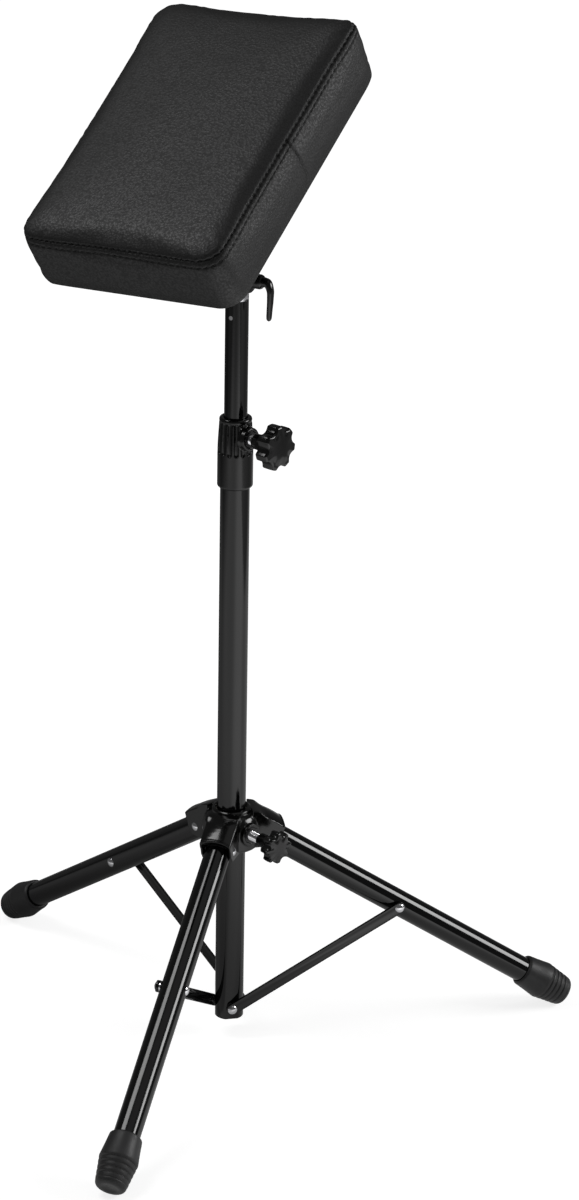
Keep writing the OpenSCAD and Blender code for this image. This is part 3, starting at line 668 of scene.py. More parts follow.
class Form:
    """Points and faces of one mesh, gathered piece by piece."""

    def __init__(self) -> None:
        """Starts empty."""
        self.points: list[np.ndarray] = []
        self.faces: list[tuple[int, ...]] = []
        self.count = 0

    def add(self, points: np.ndarray, faces: Sequence[tuple[int, ...]]) -> None:
        """Adds loose points and faces that count from the first of them.

        Args:
            points: Points, one a row.
            faces: Faces.
        """
        self.points.append(np.asarray(points, float).reshape(-1, 3))
        self.faces += [tuple(i + self.count for i in f) for f in faces]
        self.count += len(self.points[-1])

    def skin(self, rows: np.ndarray, capped: bool = True) -> None:
        """Adds a closed-round skin through rows of points.

        Args:
            rows: Points as [row, place round, xyz].
            capped: True if each end is closed by a fan.
        """
        n, m = rows.shape[:2]
        faces = []
        for j in range(n - 1):
            for i in range(m):
                k = (i + 1) % m
                faces.append((j * m + i, j * m + k, (j + 1) * m + k, (j + 1) * m + i))
        points = rows.reshape(-1, 3)
        if capped:
            points = np.vstack([points, rows[0].mean(0), rows[-1].mean(0)])
            faces += [((i + 1) % m, i, n * m) for i in range(m)]
            faces += [((n - 1) * m + i, (n - 1) * m + (i + 1) % m, n * m + 1) for i in range(m)]
        self.add(points, faces)

    def lathe(self, outline: Pairs, around: int = 64, bend: Callable | None = None) -> None:
        """Adds a turned form about +X.

        Args:
            outline: (place along the axis, radius) from one end to the other.
            around: Points round the axis.
            bend: Optional change of the points.
        """
        rows = about_x(*zip(*outline), around)
        self.skin(bend(rows) if bend else rows)

    def sweep(self, path: np.ndarray, sizes: Pairs, around: int = 12, side: Point = (0, 1, 0)) -> None:
        """Adds a tube of changing oval section along a path.

        Args:
            path: Points along its middle.
            sizes: Half width along side, and half height across it, at each point.
            around: Points round the section.
            side: Direction of the half width.
        """
        path = np.asarray(path, float)
        way = np.gradient(path, axis=0)
        way /= np.linalg.norm(way, axis=1)[:, None]
        angle = np.arange(around) * 2 * math.pi / around
        rows = np.zeros((len(path), around, 3))
        for j, point in enumerate(path):
            across = np.asarray(side, float) - way[j] * np.dot(side, way[j])
            across /= np.linalg.norm(across)
            over = np.cross(way[j], across)
            wide, tall = sizes[j]
            rows[j] = point + np.outer(np.cos(angle) * wide, across) + np.outer(np.sin(angle) * tall, over)
        self.skin(rows)

    def make(self, name: str, place: Matrix, finish: Finish, sharp: float = 180.0) -> bpy.types.Object:
        """Makes the piece.

        Args:
            name: Name of the piece.
            place: Frame that its points are in.
            finish: Finish of the piece.
            sharp: Edges that bend more than this stay crisp.

        Returns:
            The piece.
        """
        mesh = bpy.data.meshes.new(name)
        mesh.from_pydata((np.vstack(self.points) * MM).tolist(), [], self.faces)
        mesh.validate()
        piece = placed(name, mesh)
        piece.matrix_world = place
        mesh.materials.append(SHELF.get(finish))
        smooth(mesh, sharp)
        return piece


def placed(name: str, data: bpy.types.ID) -> bpy.types.Object:
    """Puts a new object into the scene.

    Args:
        name: Name of the object.
        data: Mesh, lamp or camera that it shows.

    Returns:
        The object.
    """
    piece = bpy.data.objects.new(name, data)
    bpy.context.scene.collection.objects.link(piece)
    return piece


def smooth(mesh: bpy.types.Mesh, sharp: float) -> None:
    """Shades a mesh smooth but for its sharp edges.

    Args:
        mesh: Mesh to shade.
        sharp: Edges that bend more than this stay crisp.
    """
    mesh.polygons.foreach_set("use_smooth", [True] * len(mesh.polygons))
    if sharp < 180:
        mesh.set_sharp_from_angle(angle=math.radians(sharp))


def baked(piece: bpy.types.Object) -> bpy.types.Object:
    """Applies all of a piece's modifiers.

    Args:
        piece: Piece to settle.

    Returns:
        The same piece.
    """
    bpy.context.view_layer.update()
    graph = bpy.context.evaluated_depsgraph_get()
    mesh = bpy.data.meshes.new_from_object(piece.evaluated_get(graph))
    piece.modifiers.clear()
    piece.data = mesh
    return piece


def moulded(piece: bpy.types.Object, voxel: float, rounds: int) -> bpy.types.Object:
    """Melts a piece's overlapping forms into one moulding with small fillets.

    Args:
        piece: Piece to melt.
        voxel: Cell size in millimetres.
        rounds: Rounds of smoothing.

    Returns:
        The same piece.
    """
    finish = piece.data.materials[0]
    remesh = piece.modifiers.new("melt", "REMESH")
    remesh.mode = "VOXEL"
    remesh.voxel_size = voxel * MM
    soften = piece.modifiers.new("soften", "SMOOTH")
    soften.factor = 0.5
    soften.iterations = rounds
    baked(piece)
    piece.data.materials.clear()
    piece.data.materials.append(finish)
    smooth(piece.data, sharp=180)
    return piece


def form_joined(piece: bpy.types.Object, other: bpy.types.Object) -> bpy.types.Object:
    """Adds another piece's mesh to a piece, both in the model's frame.

    Args:
        piece: Piece that is kept.
        other: Piece that is used up.

    Returns:
        The kept piece.
    """
    form = Form()
    for source in (piece, other):
        spots = np.zeros(len(source.data.vertices) * 3)
        source.data.vertices.foreach_get("co", spots)
        form.add(spots.reshape(-1, 3) / MM, [tuple(face.vertices) for face in source.data.polygons])
    mesh = bpy.data.meshes.new(piece.name)
    mesh.from_pydata((np.vstack(form.points) * MM).tolist(), [], form.faces)
    mesh.materials.append(piece.data.materials[0])
    piece.data = mesh
    bpy.data.objects.remove(other)
    return piece


def fit(piece: bpy.types.Object, body: str, slot: Slot, *nodes: str) -> bpy.types.Object:
    """Hangs a piece on its body and hides the CAD nodes that it replaces.

    Args:
        piece: Piece to fit.
        body: Body that it rides on.
        slot: Not used.
        *nodes: CAD nodes that it replaces.

    Returns:
        The same piece.
    """
    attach(piece, body)
    if nodes:
        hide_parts(*nodes)
    return piece


def shade_group() -> bpy.types.NodeTree:
    """Geometry nodes that join a CAD mesh's seams and shade it by angle."""
    tree = bpy.data.node_groups.new("shade_by_angle", "GeometryNodeTree")
    for way in ("INPUT", "OUTPUT"):
        tree.interface.new_socket("Geometry", in_out=way, socket_type="NodeSocketGeometry")
    bench = Bench(tree)
    start = bench.add("NodeGroupInput").outputs[0]
    plain = bench.add("GeometryNodeRemoveAttribute", {0: start, "Name": "custom_normal"}).outputs[0]
    merged = bench.add("GeometryNodeMergeByDistance", {0: plain, "Distance": WELD_GAP}).outputs[0]
    soft = bench.add("GeometryNodeSetShadeSmooth", {0: merged}).outputs[0]
    feeds = {"A": bench.add("GeometryNodeInputMeshEdgeAngle").outputs[0], "B": math.radians(33)}
    wide = bench.add("FunctionNodeCompare", feeds, data_type="FLOAT", operation="GREATER_THAN").outputs[0]
    feeds = {0: soft, "Selection": wide, "Shade Smooth": False}
    hard = bench.add("GeometryNodeSetShadeSmooth", feeds, domain="EDGE").outputs[0]
    bench.add("NodeGroupOutput", {0: hard})
    return tree


# The pad


@dataclass
class Pad:
    """Padded top: a leather cushion over a board, with its seams, thread, staples and under cloth."""

    width: float = 212.0
    length: float = 297.0
    band: float = 60.0
    crown: float = 12.0
    corner: float = 20.0
    corners: tuple[float, float, float, float] = (9.0, 20.0, 13.0, 21.0)
    cover: float = 1.2
    hem: float = 22.0
    board: float = 12.0
    swell: float = 2.0
    give: float = 1.2
    calm: float = 12.0
    stitch_drop: float = 6.0
    stitch_pitch: float = 6.6
    seam_pitch: float = 6.2
    join_turn: float = 0.0
    frames: int = 20
    cell: float = 6.0
    pressure: float = 4.0
    most_shift: float = 9.0
    place: Matrix = field(default_factory=pad_place)
    band_shares: Pairs = (
        (0, 2.9), (0.03, 1.2), (0.14, 0.5), (0.38, -0.5), (0.62, -0.5), (0.87, 0.1), (0.965, 1.6)
    )
    crown_shares: Pairs = (
        (0, 0.005), (0.19, 0.011), (0.5, 0.07), (0.72, 0.165), (0.85, 0.32), (0.94, 0.55), (1, 0.85)
    )
    pulls: tuple = (
        (1, 1, 13.0, (
            (0, 3.6), (0.1, 4.0), (0.17, 4.4), (0.22, 4.8), (0.29, 6.0), (0.5, 4.7), (0.75, 3.4),
            (0.93, 1.4), (1.0, -1.2), (1.1, -0.8), (1.3, 0),
        )),
        (-1, -1, 13.0, (
            (0, 1.4), (0.1, 1.6), (0.18, 2.2), (0.23, 3.0), (0.3, 4.6), (0.5, 4.2), (0.75, 4.3),
            (0.93, 4.0), (1.0, 1.8), (1.1, 0.8), (1.3, 0),
        )),
    )

    def outline(self, inset: float, round_points: np.ndarray) -> np.ndarray:
        """One ring of the pad's plan, drawn in by an inset.

        Args:
            inset: Distance in from the pad's nominal edge.
            round_points: Places round the ring, from 0 to 1.

        Returns:
            Points as [place, xy].
        """
        hx, hy = self.width / 2 - inset, self.length / 2 - inset
        least = min(hx, hy) * 0.98
        far_right, far_left, near_left, near_right = (min(r, least) for r in self.corners)
        arc = math.pi / 2 * self.corner
        full_x, full_y = self.width - 2 * self.corner, self.length - 2 * self.corner
        marks = np.cumsum([0, full_y / 2, arc, full_x, arc, full_y, arc, full_x, arc, full_y / 2])
        marks /= marks[-1]
        out = np.zeros((len(round_points), 2))
        edges = {
            0: (hx, 0, hx, hy - far_right), 2: (hx - far_right, hy, far_left - hx, hy),
            4: (-hx, hy - far_left, -hx, near_left - hy), 6: (near_left - hx, -hy, hx - near_right, -hy),
            8: (hx, near_right - hy, hx, 0),
        }
        bends = {
            1: (1, 1, 0, far_right), 3: (-1, 1, 90, far_left),
            5: (-1, -1, 180, near_left), 7: (1, -1, 270, near_right),
        }
        for i, u in enumerate(round_points):
            k = int(min(np.searchsorted(marks, u, side="right") - 1, 8))
            t = (u - marks[k]) / (marks[k + 1] - marks[k])
            if k in bends:
                way_x, way_y, first, r = bends[k]
                a = math.radians(first + 90 * t)
                out[i] = (way_x * (hx - r) + r * math.cos(a), way_y * (hy - r) + r * math.sin(a))
            else:
                x0, y0, x1, y1 = edges[k]
                out[i] = (x0 + (x1 - x0) * t, y0 + (y1 - y0) * t)
        return out

    def side(self) -> tuple[np.ndarray, np.ndarray]:
        """Section of the side and top, as insets and heights along its length.

        Returns:
            Lengths along the section, and (inset, height) there.
        """
        spots = [(i * self.cover, s * self.band) for s, i in self.band_shares]
        reach = self.width / 2 * 0.84
        spots += [(2.6 * self.cover + i * reach, self.band + s * self.crown) for s, i in self.crown_shares]
        spots = np.array(spots)
        return lengths(spots), spots

    def rings(self, along: np.ndarray, round_points: np.ndarray) -> np.ndarray:
        """Rings of the side and top.

        Args:
            along: Lengths along the section.
            round_points: Places round each ring.

        Returns:
            Points as [row, place, xyz].
        """
        marks, spots = self.side()
        insets = steady(marks, spots[:, 0], along)
        heights = steady(marks, spots[:, 1], along)
        rows = np.zeros((len(along), len(round_points), 3))
        for j, (inset, height) in enumerate(zip(insets, heights)):
            rows[j, :, :2] = self.outline(inset, round_points)
            rows[j, :, 2] = height
        return rows

    def from_corner(self, points: np.ndarray, way_x: int, way_y: int, inset: float) -> np.ndarray:
        """Distances in plan to a point near one corner.

        Args:
            points: Points of the cushion.
            way_x: 1 for the right, -1 for the left.
            way_y: 1 for the far end, -1 for the near end.
            inset: How far in from both edges the point lies.

        Returns:
            The distances.
        """
        x, y = way_x * (self.width / 2 - inset), way_y * (self.length / 2 - inset)
        return np.hypot(points[..., 0] - x, points[..., 1] - y)

    def drawn_in(self, points: np.ndarray) -> None:
        """Draws two corners in where the cover is pulled tight above the board, and lets the seam stand out.

        Args:
            points: Points of the cushion, changed in place.
        """
        rise = points[..., 2] / self.band
        for way_x, way_y, spread, marks in self.pulls:
            heights, pulls = zip(*marks)
            gap = self.from_corner(points, way_x, way_y, 3)
            pull = np.interp(rise, heights, pulls) * bell(gap, 0, spread) * math.sqrt(0.5)
            points[..., 0] -= way_x * pull
            points[..., 1] -= way_y * pull

    def simulate(self) -> Callable[[np.ndarray], np.ndarray]:
        """Blows up a slightly smaller cushion as cloth.

        Returns:
            A function that gives how far the cloth moved near each of some points.
        """
        marks = self.side()[0]
        ring = np.arange(120) / 120
        rows = self.rings(np.linspace(0, marks[-1], 26), ring)
        rows[:, :, 0] *= 1 - self.swell * 2 / self.width
        rows[:, :, 1] *= 1 - self.swell * 2 / self.length
        rows[:, :, 2] *= 1 - self.swell / (self.band + self.crown)
        form = Form()
        form.skin(rows)
        body = form.make("cushion_start", Matrix.Identity(4), FINISHES[Slot.LEATHER])
        remesh = body.modifiers.new("cells", "REMESH")
        remesh.mode = "VOXEL"
        remesh.voxel_size = self.cell * MM
        baked(body)
        held = body.vertex_groups.new(name="held")
        start = np.array([v.co[:] for v in body.data.vertices]) / MM
        held.add([i for i, p in enumerate(start) if p[2] < 3], 1.0, "REPLACE")
        cloth = body.modifiers.new("cloth", "CLOTH")
        cloth.settings.use_pressure = True
        cloth.settings.uniform_pressure_force = self.pressure
        cloth.settings.vertex_group_mass = "held"
        cloth.settings.effector_weights.gravity = 0
        cloth.point_cache.frame_start = 1
        cloth.point_cache.frame_end = self.frames
        scene = bpy.context.scene
        for step in range(1, self.frames + 1):
            scene.frame_set(step)
        graph = bpy.context.evaluated_depsgraph_get()
        after = np.array([v.co[:] for v in body.evaluated_get(graph).data.vertices]) / MM
        scene.frame_set(1)
        shift = after - start
        far = np.linalg.norm(shift, axis=1)
        shift *= np.minimum(1, self.most_shift / np.maximum(far, 1e-6))[:, None]
        LOG.info("cushion cloth: mean shift %.2f mm, largest %.2f mm", far.mean(), far.max())
        bpy.data.objects.remove(body)
        tree = KDTree(len(start))
        for i, p in enumerate(start):
            tree.insert(p, i)
        tree.balance()

        def near(points: np.ndarray) -> np.ndarray:
            """Shift of the cloth near each point, weighted by distance."""
            out = np.zeros_like(points)
            for i, p in enumerate(points):
                found = tree.find_n(p, 8)
                weights = np.array([1 / (d * d + 4) for _, _, d in found])
                out[i] = weights @ shift[[k for _, k, _ in found]] / weights.sum()
            return out

        return near

    def evened(self, swell: np.ndarray, along: np.ndarray, pitch: float) -> np.ndarray:
        """Evens out the cloth's coarse swelling before it bends the fine cushion.

        Args:
            swell: Outward shift as [row, place].
            along: Lengths along the section.
            pitch: Distance between places.

        Returns:
            The smooth swelling, as [row, place].
        """
        waves = np.fft.rfftfreq(swell.shape[1], pitch)
        calm = np.exp(-2 * (math.pi * waves * self.calm) ** 2)
        level = np.fft.irfft(np.fft.rfft(swell, axis=1) * calm, swell.shape[1], axis=1)
        weights = bell(along[:, None], along[None, :], self.calm) * np.gradient(along)[None, :]
        return (weights / weights.sum(axis=1, keepdims=True)) @ level

    def normals(self, rows: np.ndarray) -> np.ndarray:
        """Outward normals of a grid of rings."""
        across = np.roll(rows, -1, axis=1) - np.roll(rows, 1, axis=1)
        along = np.gradient(rows, axis=0)
        normal = np.cross(across, along)
        return normal / np.maximum(np.linalg.norm(normal, axis=2), 1e-9)[:, :, None]

    def build(self) -> None:
        """Makes the cushion, thread, staples and under cloth."""
        marks, spots = self.side()
        seam = float(np.interp(self.band + 0.1, spots[:, 1], marks))
        near_seam = seam + np.array([
            -14, -11.5, -9.5, -8, -7, -6.5, -6.2, -6, -5.8, -5.5, -5, -4.2, -3.3, -2.4, -1.6, -1.0, -0.6,
            -0.3, 0, 0.3, 0.6, 1.0, 1.6, 2.4, 3.3, 4.4, 5.6, 7, 8.6,
        ])
        below, above = np.linspace(0, 4, 6), np.linspace(5.5, near_seam[0] - 2, 18)
        along = np.concatenate([below, above, near_seam, np.linspace(near_seam[-1] + 1.8, marks[-1], 26)])
        ring = np.arange(1040) / 1040.0
        length = 2 * (self.width + self.length) - 8 * self.corner + 2 * math.pi * self.corner
        join = self.join_turn
        ring = np.sort(np.concatenate([ring, join + np.linspace(-3.2, 3.2, 17) / length])) % 1.0
        ring = np.unique(np.round(ring, 7))
        rows = self.rings(along, ring)
        self.drawn_in(rows)
        normal = self.normals(rows)
        place = ring * length
        rng = np.random.default_rng(11)

        def ripple(low: float, high: float, count: int) -> np.ndarray:
            """Closed irregular wave round the pad, about -1 to 1."""
            out = np.zeros(len(ring))
            for _ in range(count):
                waves = round(length / rng.uniform(low, high))
                out += np.sin(2 * math.pi * waves * ring + rng.uniform(0, 6.28))
            return out / math.sqrt(count)

        lift = np.zeros(rows.shape[:2])
        shift = self.simulate()(rows.reshape(-1, 3)).reshape(rows.shape)
        out = self.evened(np.einsum("ijk,ijk->ij", shift, normal), along, length / len(ring))
        out -= out[int(np.argmin(np.abs(along - seam)))].mean()
        lift += ease(rows[:, :, 2], 1.0, 14.0) * self.give * np.tanh(out / self.give / 2)
        kept = (out.min(), out.max(), lift.min(), lift.max())
        LOG.info("cushion swell: %.2f to %.2f mm, kept %.2f to %.2f mm", *kept)
        offset = (along - seam)[:, None] + 0.25 * ripple(60, 150, 3)[None, :]
        tug = 0.5 + 0.5 * ripple(25, 70, 3)
        sewn = round(length / self.seam_pitch)
        pull = np.sin(2 * math.pi * sewn * ring + 0.7 * ripple(40, 90, 2))
        lift -= (0.8 + 0.6 * pull)[None, :] * bell(offset, 0, 0.75, 1.3)
        lift -= 0.22 * np.minimum(pull, 0.3)[None, :] * bell(np.abs(offset), 1.2, 0.7)
        lift += 0.14 * bell(offset, 2.6, 1.8) + 0.30 * bell(offset, -2.9, 1.5)
        lift += 0.20 * (ripple(7, 13, 5) * tug)[None, :] * bell(offset, 0.5, 5.0, 1.6)
        lift += 0.08 * ripple(20, 38, 4)[None, :] * bell(offset, 6, 12)
        holes = np.cos(2 * math.pi * round(length / self.stitch_pitch) * ring)
        lift -= (0.45 + 0.25 * holes)[None, :] * bell(offset, -self.stitch_drop, 0.65)
        lift -= 0.12 * holes[None, :] * bell(offset, -self.stitch_drop, 1.4)
        rise = rows[:, :, 2] / self.band
        skew = (ring[None, :] - join + 0.5) % 1.0 - 0.5
        lean = skew * length - 1.2 * np.sin(rise * 2.6)
        on_band = ease(along[:, None], 3, 6) * ease(-(along[:, None] - seam), 0.2, 1.5)
        lift -= 1.2 * bell(lean, 0, 0.8, 1.5) * on_band
        lift += 0.25 * bell(np.abs(lean), 2.2, 1.2) * on_band
        lift += hollows(rows) * ease(along[:, None] - seam, 20, 60)
        for corner in (1, -1):
            for end in (1, -1):
                gap = self.from_corner(rows, corner, end, 8)
                fold = np.sin(place[None, :] / 2.1 + corner + 2 * end) * bell(gap, 0, 24)
                lift += 0.30 * fold * bell(offset, 5, 7)
                lift += 0.18 * np.sin(rows[:, :, 2] / 3.1 + end) * bell(gap, 0, 16) * on_band
        rows = rows + normal * lift[:, :, None]
        low, high = np.searchsorted(along, (5.0, seam - 1.2))
        path = np.array([rows[j, np.argmin(np.abs(lean[j]))] for j in range(low, high)])
        self.join_thread(path)
        self.close(rows, ring, normal, along, seam, place)

    def join_thread(self, path: np.ndarray) -> None:
        """Makes the thread that shows in the band's upright join.

        Args:
            path: Points up the join.
        """
        form = Form()
        form.sweep(path, [(0.32, 0.42)] * len(path), 10, (0, 1, 0))
        piece = form.make("join_thread", self.place, THREAD)
        fit(piece, "pad", Slot.LEATHER)

    def close(
        self, rows: np.ndarray, ring: np.ndarray, normal: np.ndarray, along: np.ndarray, seam: float,
        place: np.ndarray,
    ) -> None:
        """Closes the cushion above and below, and adds what is sewn and fixed to it.

        Args:
            rows: Rings of the side and top.
            ring: Places round each ring.
            normal: Outward normals of those rings.
            along: Lengths along the section.
            seam: Length at the seam.
            place: Distance round the pad at each place.
        """
        top = rows[-1]
        middle = np.array([top[:, axis].mean() for axis in range(3)])
        inner = []
        for share in (0.12, 0.3, 0.5, 0.7, 0.88):
            disc = top * (1 - share) + middle * share
            disc[:, 2] += hollows(disc) - hollows(top) * (1 - share)
            inner.append(disc)

        def flat(inset: float, height: float) -> np.ndarray:
            """Flat ring at an inset and a height."""
            return np.hstack([self.outline(inset, ring), np.full((len(ring), 1), height)])

        hem = self.hem
        wave = 0.35 * np.sin(place / 9.0) + 0.25 * np.sin(place / 5.3 + 1)
        under = [flat(5.6, self.cover + self.board + 0.3), flat(5.6, self.cover), flat(hem + 0.1, self.cover)]
        turned_in = (
            (hem, 0.9), (hem, 0.25), (hem - 0.4, 0.05), (hem - 2, 0.0), (18, 0.0), (14, 0.0), (10, 0.05),
            (7.2, 0.1), (5.4, 0.0),
        )
        for inset, height in turned_in:
            row = flat(inset, height)
            row[:, 2] += wave * 0.12 * (inset < hem - 1)
            under.append(row)
        below = np.array(under)
        self.drawn_in(below)
        form = Form()
        form.skin(np.concatenate([below, rows, np.array(inner)]))
        cushion = form.make("pad_cushion", self.place, FINISHES[Slot.LEATHER])
        fit(cushion, "pad", Slot.LEATHER, "pad_cover", "pad_foam")
        LOG.info("pad cushion: %d points", form.count)
        row = int(np.argmin(np.abs(along - (seam - self.stitch_drop))))
        self.thread(rows[row], normal[row])
        self.fixings()
        self.under_cloth()

    def thread(self, line: np.ndarray, normal: np.ndarray) -> None:
        """Makes the row of stitches below the seam.

        Args:
            line: Points along the row.
            normal: Outward normals there.
        """
        closed = np.vstack([line, line[:1]])
        out = np.vstack([normal, normal[:1]])
        far = lengths(closed)
        count = round(far[-1] / self.stitch_pitch)
        pitch = far[-1] / count
        half = [(0.18, 0.18), (0.33, 0.3), (0.36, 0.32)]
        form = Form()
        for k in range(count):
            spots = (k + np.linspace(0.12, 0.88, 6)) * pitch
            path = np.array([np.interp(spots, far, closed[:, a]) for a in range(3)]).T
            push = np.array([np.interp(spots, far, out[:, a]) for a in range(3)]).T
            path += push * np.array([-0.35, 0.12, 0.26, 0.26, 0.12, -0.35])[:, None]
            form.sweep(path, half + half[::-1], 8, (0, 0, 1))
        piece = form.make("topstitch_thread", self.place, THREAD)
        fit(piece, "pad", Slot.LEATHER)
        LOG.info("topstitch: %d stitches", count)

    def fixings(self) -> None:
        """Makes the staples that hold the hem to the board."""
        form = Form()
        ring = (np.arange(34) + 0.5) / 34
        spots = self.outline(15.5, ring)
        ahead = self.outline(15.5, (ring + 0.002) % 1.0)
        for k, (a, b) in enumerate(zip(spots, ahead)):
            way = (b - a) / np.linalg.norm(b - a)
            lean = math.radians(12 * math.sin(k * 2.4))
            c, s = math.cos(lean), math.sin(lean)
            way = np.array([way[0] * c - way[1] * s, way[0] * s + way[1] * c])
            path = [(*(a - way * 4.8), 0.9), (*(a - way * 4.8), -0.05), (*(a - way * 4.4), -0.3),
                    (*(a + way * 4.4), -0.3), (*(a + way * 4.8), -0.05), (*(a + way * 4.8), 0.9)]
            form.sweep(np.array(path), [(0.45, 0.28)] * 6, 8, (-way[1], way[0], 0))
        piece = form.make("hem_staples", self.place, FINISHES[Slot.STEEL])
        fit(piece, "pad", Slot.STEEL)

    def under_cloth(self) -> None:
        """Makes the black cloth that closes the underside."""
        inset = self.hem + 0.4
        wide, long = self.width - 2 * inset, self.length - 2 * inset
        nx, ny = 60, 84
        xs, ys = np.linspace(-wide / 2, wide / 2, nx), np.linspace(-long / 2, long / 2, ny)
        gx, gy = np.meshgrid(xs, ys, indexing="ij")
        edge = np.minimum.reduce([wide / 2 - np.abs(gx), long / 2 - np.abs(gy)])
        slack = 0.16 * np.sin(gx / 7 + 0.6 * np.sin(gy / 19)) + 0.12 * np.sin(gy / 11 + gx / 23)
        height = 0.55 + slack * ease(edge, 1, 12)
        form = Form()
        cells = []
        for i in range(nx - 1):
            for j in range(ny - 1):
                a = i * ny + j
                cells.append((a, a + 1, a + ny + 1, a + ny))
        form.add(np.stack([gx, gy, height], axis=2).reshape(-1, 3), cells)
        piece = form.make("under_cloth", self.place, FINISHES[Slot.CLOTH])
        body = piece.modifiers.new("thick", "SOLIDIFY")
        body.thickness = 0.35 * MM
        body.offset = 0
        baked(piece)
        smooth(piece.data, sharp=40)
        fit(piece, "pad", Slot.CLOTH, "dust_cloth")


# Mouldings, knobs and studs


@dataclass
class FootTip:
    """Barrel-shaped rubber tip with rounded rings, pushed over the end of a leg."""

    index: int
    start: float = 316.0
    length: float = 54.0
    rim: float = 15.3
    widest: float = 18.7
    wide_share: float = 0.46
    end: float = 14.6
    bore: float = 12.75
    grooves: int = 4
    pitch: float = 5.2
    depth: float = 1.0

    def outline(self) -> list[tuple[float, float]]:
        """Section from the inside of the rim to the middle of the end.

        Returns:
            (place along the leg, radius).
        """
        wide = self.length * self.wide_share
        along = np.linspace(0, self.length, 190)
        n, rim, most, end = self.length, self.rim, self.widest, self.end
        slope = (most - end) / (n - wide)
        shape = (
            (0, rim - 1.5), (1.5, rim + 0.3), (2.1, rim + 0.5), (4.5, rim + 0.8), (wide * 0.5, rim + 1.7),
            (wide - 3.5, most - 0.45), (wide - 1.6, most - 0.18), (wide, most), (wide + 1.8, most - 0.2),
            (wide + 10, most - 10 * slope), (n - 6, end + 6 * slope), (n - 3, end + 0.15),
            (n - 1.4, end - 0.8), (n - 0.4, end - 2.2), (n, end - 4),
        )
        keys, radii = zip(*shape)
        radius = steady(keys, radii, along)
        first = wide + self.pitch / 2 + 0.8
        for k in range(self.grooves):
            radius -= self.depth * bell(along - first, k * self.pitch, 0.85)
        radius -= 0.35 * bell(along - self.length, -5.0, 0.5)
        spots = [(self.start + 8, self.bore), (self.start + 0.3, self.bore), (self.start, self.bore + 0.3)]
        spots += [(self.start + a, r) for a, r in zip(along, radius)]
        last = self.start + n
        return spots + [(last - 0.05, end - 7), (last - 0.6, end - 8), (last - 0.6, 0.5)]

    def build(self) -> None:
        """Makes the tip, flattened where it stands on the floor."""
        place = leg_place(self.index)
        back = place.inverted()
        form = Form()
        form.lathe(self.outline(), 112)
        spots = np.hstack([form.points[0] * MM, np.ones((form.count, 1))]) @ np.array(place).T
        spots[:, 2] = np.maximum(spots[:, 2], 0.0)
        form.points[0] = (spots @ np.array(back).T)[:, :3] / MM
        name = f"foot_tip_{self.index + 1}"
        piece = form.make("ribbed_" + name, place, FINISHES[Slot.RUBBER], sharp=50)
        fit(piece, f"leg_{self.index + 1}", Slot.RUBBER, name)


